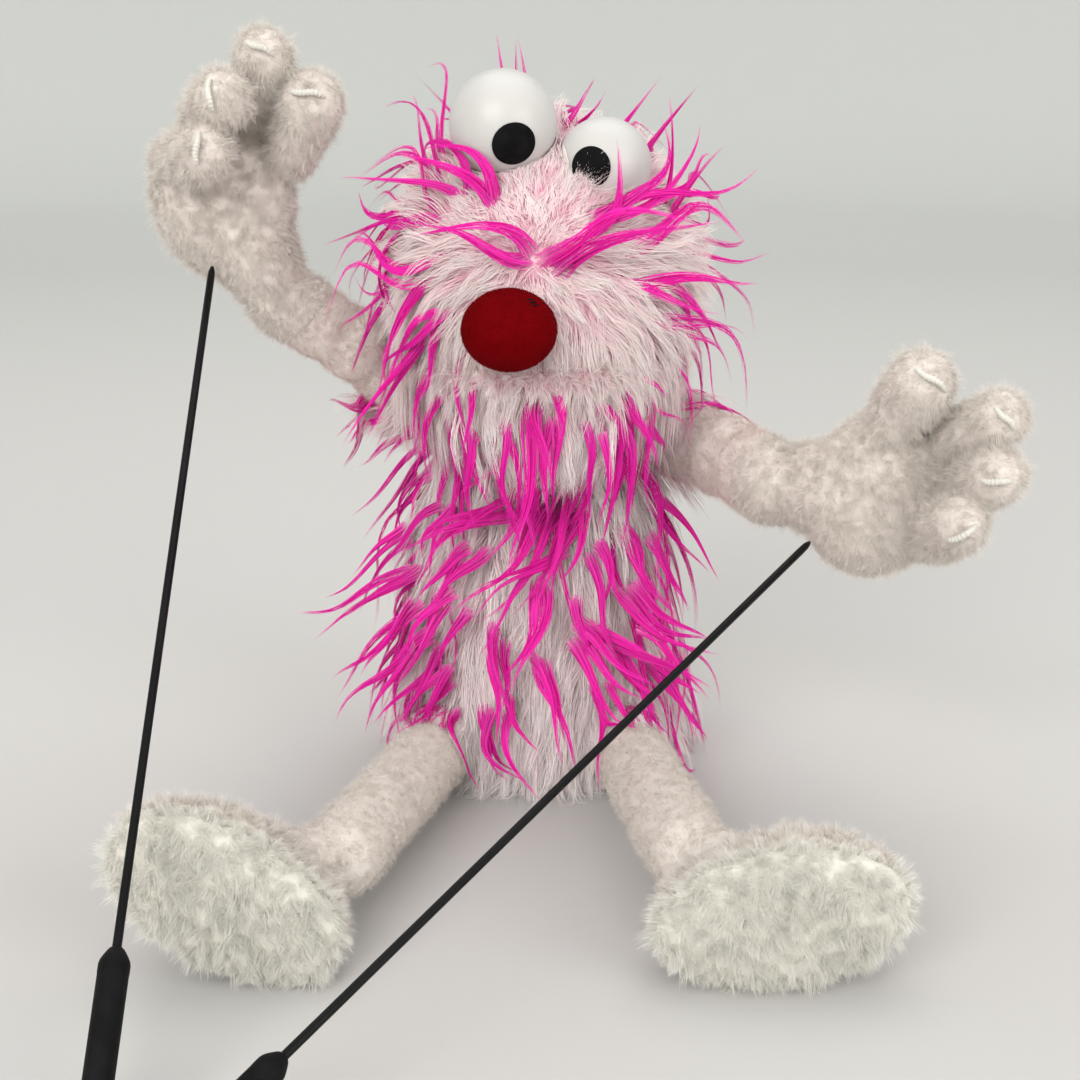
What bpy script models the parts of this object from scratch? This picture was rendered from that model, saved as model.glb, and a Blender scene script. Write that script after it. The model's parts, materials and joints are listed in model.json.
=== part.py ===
"""A shaggy monster puppet with a moving mouth, sitting with its legs out in front.

The origin is the centre of the flat seat, +Z is up and the puppet faces -Y.
"right" and "left" are the puppet's own, so its right side is at -X.
Every length below is in millimetres until a builder turns it into metres.
"""

import math

import bmesh
import bpy
from mathutils import Matrix, Vector

MM = 0.001
OBJECT = "moving_mouth_puppet"
GAP = 0.3  # clear space between pieces that lie against each other
SWING_GAP = 1.6  # half the space left where two stuffed tubes bend

# body: a sleeve of fur, open low at the back for the operator's arm
SEAT_RADII = (47.0, 42.0)
SEAT_THICKNESS = 3.0
TORSO_SECTIONS = (  # height, centre in Y, half width, half depth
    (3.3, 0.0, 50.0, 45.0),
    (40.0, 0.0, 51.0, 46.0),
    (80.0, 2.0, 49.0, 41.0),
    (118.0, 8.0, 43.0, 32.0),
    (145.0, 15.0, 37.5, 25.0),
    (160.0, 17.0, 34.0, 22.0),
)
TORSO_WALL = 2.5
SIDE_WRAP = 25.0  # how far each side panel reaches round to the back, degrees
FRONT_SPREAD = 55.0  # how far the front panel reaches to each side, degrees
SEAM_ANGLE = 2.0  # open angle along each seam, degrees
ARM_OPENING_TOP = 72.0
COLLAR_Z = (161.5, 172.0)
NECK_PIVOT = (0.0, 17.0, 167.0)

# head: an egg of foam under fur, cut flat above the mouth plate
HEAD_CENTRE = (0.0, -30.0, 222.0)
HEAD_RADII = (55.0, 62.0, 62.0)
HEAD_RIM_Z = 188.0
HEAD_SKIN = 2.0
HEAD_FOAM = 7.0
FOAM_SEAM = 0.8  # half the space between two quarters of the foam
EYES = {  # centre, radius, pupil direction, pupil radius
    "right": ((-14.4, -57.0, 285.5), 21.0, (0.22, -0.92, -0.31), 8.3),
    "left": ((25.0, -57.0, 270.0), 18.4, (-0.315, -0.945, 0.03), 7.6),
}
PUPIL_FELT = 0.8
NOSE_CENTRE = (-11.6, -103.0, 213.0)
NOSE_RADII = (18.0, 15.0, 15.6)
NOSE_COVER = 1.2
NOSE_BACK_Y = -92.6

# mouth: two stiff plates on one hinge line behind the lips
MOUTH_HINGE = (0.0, -12.0, 184.4)
PLATE_HALF_WIDTH = 43.0
PLATE_DEPTH = 68.0
PLATE_THICKNESS = 1.8
LINING_THICKNESS = 0.8
MOUTH_SLIT = 0.5  # half the space between the closed linings
JAW_SETBACK = 3.0  # the lower plate starts this far in front of the hinge
FINGER_POCKET = ((26.0, 20.0), (-52.0, -30.0))  # arch radii, front and back
THUMB_POCKET = ((15.0, 12.0), (-56.0, -36.0))
POCKET_WALL = 1.2
JAW_CENTRE = (0.0, -50.0, 180.9)
JAW_RADII = (43.0, 32.0, 23.0)
JAW_BACK_Y = -27.0
JAW_RIM_DROP = 1.6  # how far the jaw's wall ends below its plate
JAW_SKIN = 1.5
JAW_FOAM = 4.5
LIP_RADIUS = 3.2

# arms: shoulder, elbow, wrist and hand of each side, as they are held up
ARMS = {
    "right": {
        "radius": 14.0,
        "shoulder": (-52.0, 12.0, 163.0),
        "elbow": (-80.0, -7.0, 190.0),
        "wrist": (-108.5, -18.0, 211.0),
        "palm": (-130.0, -27.0, 254.0),
        "palm_radii": (28.0, 16.5, 32.0),
        "palm_turn": (8.0, -8.0),
        "digits": {
            "thumb": ((-101.0, -31.0, 272.0), (-90.0, -46.0, 293.0), 9.5, 11.5),
            "index_finger": ((-114.0, -31.0, 288.0), (-107.5, -48.0, 311.0), 8.5, 9.8),
            "middle_finger": ((-134.0, -34.0, 288.0), (-121.5, -60.0, 295.5), 8.5, 9.8),
            "ring_finger": ((-147.0, -36.0, 270.0), (-130.0, -62.0, 275.0), 8.5, 9.8),
        },
        "rod_hole": (-133.5, -41.0, 227.0),
        "rod_end": (-132.0, -318.2, 3.0),
    },
    "left": {
        "radius": 16.0,
        "shoulder": (55.0, 12.0, 149.0),
        "elbow": (81.0, -19.0, 143.0),
        "wrist": (98.0, -50.0, 139.5),
        "palm": (137.5, -70.0, 140.5),
        "palm_radii": (29.0, 17.5, 33.0),
        "palm_turn": (0.0, 20.0),
        "digits": {
            "thumb": ((137.0, -76.0, 168.0), (147.0, -90.0, 190.0), 9.5, 12.0),
            "index_finger": ((163.0, -78.0, 165.0), (176.5, -97.0, 178.0), 8.5, 10.0),
            "middle_finger": ((168.0, -82.0, 146.0), (175.0, -106.0, 158.0), 8.5, 10.0),
            "ring_finger": ((159.0, -80.0, 124.0), (162.0, -106.0, 139.0), 8.5, 10.0),
        },
        "rod_hole": (107.5, -83.0, 123.0),
        "rod_end": (-120.3, -341.8, 4.0),
    },
}
ROD_RADIUS = 1.5
ROD_IN_GRIP = 30.0
ROD_HOLE_RADIUS = 3.2
GRIP_LENGTH = 70.0
GRIP_RADIUS = 5.0
BORE_SLACK = 0.3

# legs: hip, ankle and foot of each side; the soles face forward
LEGS = {
    "right": {
        "hip": (-44.0, -51.0, 20.0),
        "ankle": (-75.0, -166.0, 26.5),
        "foot": (-109.0, -204.0, 32.6),
        "foot_tilt": 148.0,
    },
    "left": {
        "hip": (38.0, -54.0, 21.0),
        "ankle": (56.0, -165.0, 27.0),
        "foot": (84.0, -207.0, 26.4),
        "foot_tilt": 10.0,
    },
}
LEG_RADIUS = 14.5
FOOT_RADII = (44.0, 30.0, 24.5)  # half length, depth behind the sole, half width
SOLE_THICKNESS = 6.0
SOLE_ROUNDING = 2.2

# how finely round forms are divided: around, and from pole to pole
HEAD_MESH = (24, 14)
SMALL_MESH = (18, 12)
OUTLINE_STEPS = 24

MATERIALS = {  # colour, roughness
    "long_fur": ((0.84, 0.30, 0.55), 0.85),
    "fleece": ((0.80, 0.74, 0.71), 0.90),
    "foot_fleece": ((0.82, 0.81, 0.78), 0.95),
    "foam": ((0.90, 0.86, 0.70), 0.95),
    "mouth_board": ((0.10, 0.10, 0.11), 0.70),
    "mouth_felt": ((0.45, 0.02, 0.04), 0.95),
    "webbing": ((0.05, 0.05, 0.05), 0.80),
    "eye_plastic": ((0.86, 0.86, 0.84), 0.35),
    "pupil_felt": ((0.02, 0.02, 0.02), 0.95),
    "nose_velour": ((0.22, 0.00, 0.01), 0.70),
    "rod_plastic": ((0.02, 0.02, 0.02), 0.40),
    "grip_rubber": ((0.03, 0.03, 0.03), 0.60),
}


def clear_scene():
    for obj in list(bpy.data.objects):
        bpy.data.objects.remove(obj, do_unlink=True)


def collection(name):
    made = bpy.data.collections.new(name)
    bpy.context.scene.collection.children.link(made)
    return made


def material(name):
    """The named material, made the first time that it is asked for."""
    if name in bpy.data.materials:
        return bpy.data.materials[name]
    colour, roughness = MATERIALS[name]
    made = bpy.data.materials.new(name)
    made.use_nodes = True
    shader = made.node_tree.nodes["Principled BSDF"]
    shader.inputs["Base Color"].default_value = (*colour, 1.0)
    shader.inputs["Roughness"].default_value = roughness
    shader.inputs["Metallic"].default_value = 0.0
    return made


def pivot(name, place):
    """An empty at a joint, which the pieces that swing on it are parented to."""
    empty = bpy.data.objects.new(name, None)
    empty.empty_display_size = 0.01
    empty.location = Vector(place) * MM
    parts.objects.link(empty)
    return empty


def piece(name, bm, material_name, body):
    """Turns a mesh drawn in millimetres about the origin into a node on its body."""
    bmesh.ops.scale(bm, vec=(MM, MM, MM), verts=bm.verts)
    bmesh.ops.translate(bm, vec=-body.location, verts=bm.verts)
    mesh = bpy.data.meshes.new(name)
    bm.to_mesh(mesh)
    bm.free()
    mesh.shade_smooth()
    mesh.set_sharp_from_angle(angle=math.radians(40))
    mesh.materials.append(material(material_name))
    obj = bpy.data.objects.new(name, mesh)
    obj.parent = body
    parts.objects.link(obj)
    return obj


def cutter(name, bm):
    """A hidden solid, drawn in millimetres, that other pieces are cut with."""
    bmesh.ops.scale(bm, vec=(MM, MM, MM), verts=bm.verts)
    mesh = bpy.data.meshes.new(name)
    bm.to_mesh(mesh)
    bm.free()
    obj = bpy.data.objects.new(name, mesh)
    obj.hide_render = True
    obj.display_type = "WIRE"
    cutters.objects.link(obj)
    return obj


def cut(obj, tool):
    modifier = obj.modifiers.new(tool.name, "BOOLEAN")
    modifier.operation = "DIFFERENCE"
    modifier.solver = "EXACT"
    modifier.object = tool


def thicken(obj, thickness):
    """Gives an open surface its wall, inwards from the surface."""
    modifier = obj.modifiers.new("wall", "SOLIDIFY")
    modifier.thickness = thickness * MM
    modifier.offset = -1.0
    modifier.use_even_offset = True


def ball(centre, radii, fineness=SMALL_MESH, turn=(0.0, 0.0)):
    """An ellipsoid; turn leans it about X and then about Y, in degrees."""
    bm = bmesh.new()
    around, down = fineness
    bmesh.ops.create_uvsphere(bm, u_segments=around, v_segments=down, radius=1.0)
    about_x = Matrix.Rotation(math.radians(turn[0]), 4, "X")
    lean = Matrix.Rotation(math.radians(turn[1]), 4, "Y") @ about_x
    stretch = Matrix.Diagonal((*radii, 1.0))
    bmesh.ops.transform(bm, matrix=Matrix.Translation(centre) @ lean @ stretch, verts=bm.verts)
    return bm


def trim(bm, point, normal, close=False):
    """Cuts away what lies past a plane on the side that its normal points to."""
    cut_edges = bmesh.ops.bisect_plane(
        bm,
        geom=bm.verts[:] + bm.edges[:] + bm.faces[:],
        plane_co=point,
        plane_no=normal,
        clear_outer=True,
    )["geom_cut"]
    if close:
        rim = [item for item in cut_edges if isinstance(item, bmesh.types.BMEdge)]
        bmesh.ops.contextual_create(bm, geom=rim)
    return bm


def stuffed_tube(start, end, start_radius, end_radius, sides=14, cap_steps=4):
    """A tube with round ends, whose end centres are the two points."""
    start, end = Vector(start), Vector(end)
    length = (end - start).length
    turns = [math.radians(90.0 * i / cap_steps) for i in range(cap_steps + 1)]
    profile = [(start_radius * math.sin(t), -start_radius * math.cos(t)) for t in turns]
    profile += [(end_radius * math.cos(t), length + end_radius * math.sin(t)) for t in turns]
    bm = bmesh.new()
    verts = [bm.verts.new((radius, 0.0, height)) for radius, height in profile]
    edges = [bm.edges.new(pair) for pair in zip(verts, verts[1:])]
    bmesh.ops.spin(
        bm, geom=verts + edges, cent=(0, 0, 0), axis=(0, 0, 1), angle=2 * math.pi, steps=sides
    )
    bmesh.ops.remove_doubles(bm, verts=bm.verts, dist=0.001)
    bmesh.ops.recalc_face_normals(bm, faces=bm.faces)
    aim = (end - start).to_track_quat("Z", "Y").to_matrix().to_4x4()
    bmesh.ops.transform(bm, matrix=Matrix.Translation(start) @ aim, verts=bm.verts)
    return bm


def sheet(rows):
    """A surface through rows of points, each row as long as the others."""
    bm = bmesh.new()
    grid = [[bm.verts.new(point) for point in row] for row in rows]
    for low, high in zip(grid, grid[1:]):
        for i in range(len(low) - 1):
            bm.faces.new((low[i], low[i + 1], high[i + 1], high[i]))
    return bm


def face_away_from(bm, centre):
    """Turns an open surface so that its faces point away from a point."""
    bm.normal_update()
    outward = sum(f.normal.dot(f.calc_center_median() - Vector(centre)) for f in bm.faces)
    if outward < 0:
        bmesh.ops.reverse_faces(bm, faces=bm.faces)
    return bm


def ring_of(section, first, last, steps):
    """Points along an ellipse at one height, from one angle to another in degrees."""
    height, centre_y, half_width, half_depth = section
    angles = [math.radians(first + (last - first) * i / steps) for i in range(steps + 1)]
    return [
        (half_width * math.cos(a), centre_y + half_depth * math.sin(a), height) for a in angles
    ]


def torso_section(height):
    """The body's outline at a height, between the two sections next to it."""
    for low, high in zip(TORSO_SECTIONS, TORSO_SECTIONS[1:]):
        if height <= high[0]:
            share = (height - low[0]) / (high[0] - low[0])
            return tuple(a + (b - a) * share for a, b in zip(low, high))
    return TORSO_SECTIONS[-1]


def body_panel(name, low, high, first, last, rows, steps, body):
    """One fur panel of the body sleeve, from height to height and angle to angle."""
    heights = [low + (high - low) * i / rows for i in range(rows + 1)]
    bm = sheet([ring_of(torso_section(h), first, last, steps) for h in heights])
    face_away_from(bm, (0.0, 8.0, (low + high) / 2))
    thicken(piece(name, bm, "long_fur", body), TORSO_WALL)


def flat_plate(name, outline, bottom, thickness, material_name, body):
    """A flat outline with straight walls, from its bottom face upwards."""
    bm = bmesh.new()
    rim = [bm.verts.new((x, y, bottom)) for x, y in outline]
    bottom_face = bm.faces.new(rim)
    raised = bmesh.ops.extrude_face_region(bm, geom=[bottom_face])["geom"]
    top = [item for item in raised if isinstance(item, bmesh.types.BMVert)]
    bmesh.ops.translate(bm, vec=(0.0, 0.0, thickness), verts=top)
    bmesh.ops.recalc_face_normals(bm, faces=bm.faces)
    return piece(name, bm, material_name, body)


def mouth_outline(back_y, shrink=0.0, steps=14):
    """The D shape of the mouth plates: straight at the hinge, round at the lips."""
    hinge_y = MOUTH_HINGE[1]
    half_width = PLATE_HALF_WIDTH - shrink
    depth = PLATE_DEPTH - shrink
    reach = math.acos(min(1.0, (hinge_y - back_y) / depth))
    turns = [-reach + 2 * reach * i / steps for i in range(steps + 1)]
    return [(half_width * math.sin(t), hinge_y - depth * math.cos(t)) for t in turns]


def arch(name, radii, front_back, base_z, direction, body, steps=10):
    """A strap bowed over the fingers or the thumb, standing on its plate."""
    rows = []
    for y in front_back:
        turns = [math.pi * i / steps for i in range(steps + 1)]
        rows.append(
            [
                (radii[0] * math.cos(t), y, base_z + direction * radii[1] * math.sin(t))
                for t in turns
            ]
        )
    bm = face_away_from(sheet(rows), (0.0, sum(front_back) / 2, base_z))
    thicken(piece(name, bm, "webbing", body), POCKET_WALL)


def build_torso(torso):
    seat = [(x, y) for x, y, _ in ring_of((0.0, 0.0, *SEAT_RADII), 0, 360, OUTLINE_STEPS)[:-1]]
    flat_plate("seat_panel", seat, 0.0, SEAT_THICKNESS, "foot_fleece", torso)
    base, top = TORSO_SECTIONS[0][0], TORSO_SECTIONS[-1][0]
    front = (270 - FRONT_SPREAD, 270 + FRONT_SPREAD)
    back = (SIDE_WRAP + SEAM_ANGLE, 180 - SIDE_WRAP - SEAM_ANGLE)
    body_panel("body_front_panel", base, top, *front, 9, 10, torso)
    body_panel("body_back_panel", ARM_OPENING_TOP, top, *back, 5, 12, torso)
    right = (180 - SIDE_WRAP, front[0] - SEAM_ANGLE)
    left = (front[1] + SEAM_ANGLE, 360 + SIDE_WRAP)
    body_panel("body_side_panel_right", base, top, *right, 9, 6, torso)
    body_panel("body_side_panel_left", base, top, *left, 9, 6, torso)


def build_neck(neck):
    height, centre_y, half_width, half_depth = TORSO_SECTIONS[-1]
    rows = [
        ring_of((z, centre_y, half_width, half_depth), 0, 360, OUTLINE_STEPS) for z in COLLAR_Z
    ]
    bm = sheet(rows)
    bmesh.ops.remove_doubles(bm, verts=bm.verts, dist=0.001)
    face_away_from(bm, (0.0, centre_y, sum(COLLAR_Z) / 2))
    thicken(piece("neck_collar", bm, "long_fur", neck), TORSO_WALL)


def shrunk(radii, amount):
    return tuple(r - amount for r in radii)


def build_head(head):
    rim = (0.0, 0.0, HEAD_RIM_Z)
    down = (0.0, 0.0, -1.0)
    skin = trim(ball(HEAD_CENTRE, HEAD_RADII, HEAD_MESH), rim, down)
    thicken(piece("head_fur_skin", skin, "long_fur", head), HEAD_SKIN)
    for number, side in enumerate(("left", "back", "right", "front")):
        foam = ball(HEAD_CENTRE, shrunk(HEAD_RADII, HEAD_SKIN + 2 * GAP), HEAD_MESH)
        trim(foam, rim, down)
        middle = math.radians(90 * number)
        for turn in (-1, 1):
            edge = middle + turn * math.radians(135)
            normal = Vector((math.cos(edge), math.sin(edge), 0.0))
            trim(foam, Vector(HEAD_CENTRE) - normal * FOAM_SEAM, normal)
        thicken(piece(f"head_foam_{side}", foam, "foam", head), HEAD_FOAM)
    build_eyes(head)
    build_nose(head)
    build_upper_lip(head)


def build_eyes(head):
    room = ball(HEAD_CENTRE, shrunk(HEAD_RADII, -GAP), HEAD_MESH)
    socket = cutter("head_clearance", room)
    for side, (centre, radius, look, pupil_radius) in EYES.items():
        eye = ball(centre, (radius, radius, radius), HEAD_MESH)
        cut(piece(f"eyeball_{side}", eye, "eye_plastic", head), socket)
        build_pupil(f"pupil_{side}", centre, radius, look, pupil_radius, head)


def build_pupil(name, centre, eye_radius, look, radius, head):
    """A felt disc, dished to lie on the eyeball."""
    direction = Vector(look).normalized()
    reach = eye_radius + GAP + PUPIL_FELT
    rings = 3
    spread = math.asin(radius / reach)
    bm = bmesh.new()
    bmesh.ops.create_circle(bm, cap_ends=False, radius=reach * math.sin(spread), segments=16)
    rim_edges = bm.edges[:]
    for i in range(1, rings):
        angle = spread * (1 - i / rings)
        grown = bmesh.ops.extrude_edge_only(bm, edges=rim_edges)["geom"]
        ring = [v for v in grown if isinstance(v, bmesh.types.BMVert)]
        rim_edges = [e for e in grown if isinstance(e, bmesh.types.BMEdge)]
        for vert in ring:
            flat = Vector((vert.co.x, vert.co.y, 0.0)).normalized() * reach * math.sin(angle)
            vert.co = (flat.x, flat.y, reach * (math.cos(angle) - math.cos(spread)))
    bmesh.ops.contextual_create(bm, geom=rim_edges)
    aim = direction.to_track_quat("Z", "Y").to_matrix().to_4x4()
    place = Matrix.Translation(Vector(centre) + direction * reach * math.cos(spread)) @ aim
    bmesh.ops.transform(bm, matrix=place, verts=bm.verts)
    face_away_from(bm, centre)
    thicken(piece(name, bm, "pupil_felt", head), PUPIL_FELT)


def build_nose(head):
    back = (0.0, NOSE_BACK_Y, 0.0)
    behind = (0.0, 1.0, 0.0)
    cover = trim(ball(NOSE_CENTRE, NOSE_RADII), back, behind)
    thicken(piece("nose_cover", cover, "nose_velour", head), NOSE_COVER)
    core = ball(NOSE_CENTRE, shrunk(NOSE_RADII, NOSE_COVER + 2 * GAP))
    piece("nose_stuffing", trim(core, back, behind, close=True), "foam", head)


def build_upper_lip(head):
    """A roll of short fur along the front edge of the upper mouth plate."""
    lip_z = HEAD_RIM_Z + LIP_RADIUS + GAP
    widest = (HEAD_CENTRE[2] - lip_z - LIP_RADIUS) / HEAD_RADII[2]
    share = math.sqrt(1 - widest**2)
    half_width = HEAD_RADII[0] * share + LIP_RADIUS + GAP
    depth = HEAD_RADII[1] * share + LIP_RADIUS + GAP
    curve = bpy.data.curves.new("upper_lip_path", "CURVE")
    curve.dimensions = "3D"
    curve.bevel_depth = LIP_RADIUS * MM
    curve.bevel_resolution = 2
    curve.use_fill_caps = True
    points = ring_of((lip_z, HEAD_CENTRE[1], half_width, depth), 205, 335, 14)
    spline = curve.splines.new("POLY")
    spline.points.add(len(points) - 1)
    for target, point in zip(spline.points, points):
        target.co = (*(Vector(point) * MM - head.location), 1.0)
    curve.materials.append(material("long_fur"))
    obj = bpy.data.objects.new("upper_lip", curve)
    obj.parent = head
    parts.objects.link(obj)


def build_upper_mouth(head):
    _, hinge_y, hinge_z = MOUTH_HINGE
    lining_z = hinge_z + MOUTH_SLIT
    plate_z = lining_z + LINING_THICKNESS + GAP
    flat_plate(
        "upper_mouth_lining",
        mouth_outline(hinge_y, shrink=1.0),
        lining_z,
        LINING_THICKNESS,
        "mouth_felt",
        head,
    )
    flat_plate(
        "upper_mouth_plate", mouth_outline(hinge_y), plate_z, PLATE_THICKNESS, "mouth_board", head
    )
    near, far = hinge_y + 0.5, hinge_y + 1.5
    strip = [(-38.0, near), (38.0, near), (38.0, far), (-38.0, far)]
    flat_plate("mouth_hinge_strip", strip, hinge_z - 4.0, 7.5, "webbing", head)
    arch("finger_pocket", *FINGER_POCKET, plate_z + PLATE_THICKNESS + GAP, 1.0, head)


def build_jaw(jaw):
    _, hinge_y, hinge_z = MOUTH_HINGE
    lining_z = hinge_z - MOUTH_SLIT - LINING_THICKNESS
    plate_z = lining_z - GAP - PLATE_THICKNESS
    back_y = hinge_y - JAW_SETBACK
    flat_plate(
        "lower_mouth_lining",
        mouth_outline(back_y, shrink=1.0),
        lining_z,
        LINING_THICKNESS,
        "mouth_felt",
        jaw,
    )
    flat_plate("lower_mouth_plate", mouth_outline(back_y), plate_z, PLATE_THICKNESS, "mouth_board", jaw)
    arch("thumb_pocket", *THUMB_POCKET, plate_z - GAP, -1.0, jaw)
    rim = (0.0, 0.0, plate_z - JAW_RIM_DROP)
    back = (0.0, JAW_BACK_Y, 0.0)
    for name, inset, wall, material_name in (
        ("jaw_fur_skin", 0.0, JAW_SKIN, "long_fur"),
        ("jaw_foam", JAW_SKIN + 2 * GAP, JAW_FOAM, "foam"),
    ):
        bowl = ball(JAW_CENTRE, shrunk(JAW_RADII, inset))
        trim(bowl, rim, (0.0, 0.0, 1.0))
        trim(bowl, back, (0.0, 1.0, 0.0))
        thicken(piece(name, bowl, material_name, jaw), wall)


def step_towards(start, end, distance):
    start, end = Vector(start), Vector(end)
    return start + (end - start).normalized() * distance


def build_arm(side, arm, shoulder, elbow):
    radius = arm["radius"]
    back_off = radius + SWING_GAP
    upper_end = step_towards(arm["elbow"], arm["shoulder"], back_off)
    fore_start = step_towards(arm["elbow"], arm["wrist"], back_off)
    upper = stuffed_tube(arm["shoulder"], upper_end, radius, radius)
    fore = stuffed_tube(fore_start, arm["wrist"], radius, radius)
    piece(f"upper_arm_{side}", upper, "fleece", shoulder)
    piece(f"forearm_{side}", fore, "fleece", elbow)


def build_hand(side, arm, hand):
    """A stuffed palm with four digits round it, and a hole for the rod at its heel."""
    palm = ball(arm["palm"], arm["palm_radii"], turn=arm["palm_turn"])
    palm_obj = piece(f"palm_{side}", palm, "fleece", hand)
    hole = [ROD_HOLE_RADIUS] * 3
    cut(palm_obj, cutter(f"rod_hole_{side}", ball(arm["rod_hole"], hole)))
    room = ball(arm["palm"], shrunk(arm["palm_radii"], -GAP), turn=arm["palm_turn"])
    clearance = cutter(f"palm_clearance_{side}", room)
    for name, (base, tip, base_radius, tip_radius) in arm["digits"].items():
        digit = stuffed_tube(base, tip, base_radius, tip_radius, 12, 3)
        cut(piece(f"{name}_{side}", digit, "fleece", hand), clearance)


def build_rod(side, arm, swing):
    hole, end = Vector(arm["rod_hole"]), Vector(arm["rod_end"])
    grip_top = step_towards(end, hole, GRIP_LENGTH)
    rod_end = step_towards(grip_top, end, ROD_IN_GRIP)
    rod = stuffed_tube(hole, rod_end, ROD_RADIUS, ROD_RADIUS, 10, 2)
    piece(f"arm_rod_{side}", rod, "rod_plastic", swing)
    inset = GRIP_RADIUS
    grip = stuffed_tube(
        step_towards(grip_top, end, inset), step_towards(end, hole, inset), inset, inset, 14, 4
    )
    grip_obj = piece(f"rod_grip_{side}", grip, "grip_rubber", swing)
    bore_radius = ROD_RADIUS + BORE_SLACK
    bore_start = step_towards(grip_top, hole, GRIP_RADIUS)
    bore_end = step_towards(rod_end, end, 1.0)
    bore = stuffed_tube(bore_start, bore_end, bore_radius, bore_radius, 10, 2)
    cut(grip_obj, cutter(f"rod_bore_{side}", bore))


def build_leg(side, leg, hip, ankle):
    """A stuffed leg, and a foot whose flat sole faces forward."""
    tube = stuffed_tube(leg["hip"], leg["ankle"], LEG_RADIUS, LEG_RADIUS)
    piece(f"leg_{side}", tube, "fleece", hip)
    length, depth, width = FOOT_RADII
    tilt = Matrix.Rotation(math.radians(-leg["foot_tilt"]), 4, "Y")
    place = Matrix.Translation(leg["foot"]) @ tilt
    upper = ball((0, 0, 0), (length, depth, width))
    trim(upper, (0, 0, 0), (0, -1, 0), close=True)
    bmesh.ops.transform(upper, matrix=place, verts=upper.verts)
    piece(f"foot_upper_{side}", upper, "foot_fleece", ankle)
    sole = bmesh.new()
    bmesh.ops.create_cone(
        sole, cap_ends=True, segments=OUTLINE_STEPS, radius1=1.0, radius2=1.0, depth=SOLE_THICKNESS
    )
    stand = Matrix.Rotation(math.radians(90), 4, "X") @ Matrix.Diagonal((length, width, 1.0, 1.0))
    forward = Matrix.Translation((0.0, -SOLE_THICKNESS / 2 - GAP, 0.0))
    bmesh.ops.transform(sole, matrix=place @ forward @ stand, verts=sole.verts)
    obj = piece(f"foot_sole_{side}", sole, "foot_fleece", ankle)
    bevel = obj.modifiers.new("rounded edge", "BEVEL")
    bevel.width = SOLE_ROUNDING * MM
    bevel.segments = 2


def halfway(a, b):
    return (Vector(a) + Vector(b)) / 2


def build():
    build_torso(pivot("torso", (0.0, 0.0, 0.0)))
    build_neck(pivot("neck", NECK_PIVOT))
    head = pivot("head", NECK_PIVOT)
    build_head(head)
    build_upper_mouth(head)
    build_jaw(pivot("jaw", MOUTH_HINGE))
    for side, arm in ARMS.items():
        build_arm(
            side,
            arm,
            pivot(f"shoulder_{side}", arm["shoulder"]),
            pivot(f"elbow_{side}", arm["elbow"]),
        )
        wrist = step_towards(arm["wrist"], arm["palm"], arm["radius"] + SWING_GAP)
        build_hand(side, arm, pivot(f"wrist_{side}", wrist))
        build_rod(side, arm, pivot(f"rod_swing_{side}", arm["rod_hole"]))
    for side, leg in LEGS.items():
        ankle = step_towards(leg["ankle"], leg["foot"], LEG_RADIUS + SWING_GAP)
        build_leg(side, leg, pivot(f"hip_{side}", leg["hip"]), pivot(f"ankle_{side}", ankle))


clear_scene()
parts = collection(OBJECT)
cutters = collection("cutters")
build()
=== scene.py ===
"""The look of a shaggy moving mouth puppet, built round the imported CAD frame.

Long fur is made of tapered hairs gathered in locks, and the fleece and the feet
have a short pile made the same way. Everything is in metres, +Z up.
"""

import json
import math

import bmesh
import bpy
import numpy as np
from mathutils import Matrix, Vector


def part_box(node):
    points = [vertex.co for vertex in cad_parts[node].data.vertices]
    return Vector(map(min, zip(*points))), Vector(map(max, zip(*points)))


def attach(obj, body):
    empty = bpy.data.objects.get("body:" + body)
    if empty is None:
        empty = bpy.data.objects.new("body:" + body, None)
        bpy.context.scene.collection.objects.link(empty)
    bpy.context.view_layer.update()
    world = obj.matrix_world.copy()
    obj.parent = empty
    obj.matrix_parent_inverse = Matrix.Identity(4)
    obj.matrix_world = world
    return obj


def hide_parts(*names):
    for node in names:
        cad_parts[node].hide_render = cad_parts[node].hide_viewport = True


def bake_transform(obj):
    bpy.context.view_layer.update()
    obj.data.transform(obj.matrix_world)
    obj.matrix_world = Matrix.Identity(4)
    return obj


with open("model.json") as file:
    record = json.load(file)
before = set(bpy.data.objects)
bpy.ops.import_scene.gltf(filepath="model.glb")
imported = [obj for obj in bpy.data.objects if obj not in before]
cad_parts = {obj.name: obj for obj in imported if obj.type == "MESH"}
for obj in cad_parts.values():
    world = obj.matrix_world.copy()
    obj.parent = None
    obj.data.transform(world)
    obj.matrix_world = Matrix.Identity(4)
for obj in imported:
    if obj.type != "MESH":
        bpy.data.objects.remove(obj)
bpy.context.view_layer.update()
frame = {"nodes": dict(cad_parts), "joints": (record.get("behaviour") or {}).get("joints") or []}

MM = 0.001
nodes = frame["nodes"]
rng = np.random.default_rng(648)
HAIR_UV = "OFBake"  # the UV layer that tells a hair's material its place along the hair
DOWN = np.array((0.0, 0.0, -1.0))


# ---------------------------------------------------------------- small helpers
def unit(v):
    return v / np.maximum(np.linalg.norm(v, axis=-1, keepdims=True), 1e-12)


def smoothstep(x, low, high):
    t = np.clip((x - low) / (high - low), 0.0, 1.0)
    return t * t * (3 - 2 * t)


def mm(*values):
    return np.array(values, float) * MM


def coordinates(mesh):
    co = np.empty(len(mesh.vertices) * 3, np.float32)
    mesh.vertices.foreach_get("co", co)
    return co.reshape(-1, 3).astype(float)


def centre_and_radii(node):
    low, high = (np.array(c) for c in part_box(node))
    return (low + high) / 2, (high - low) / 2


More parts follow.
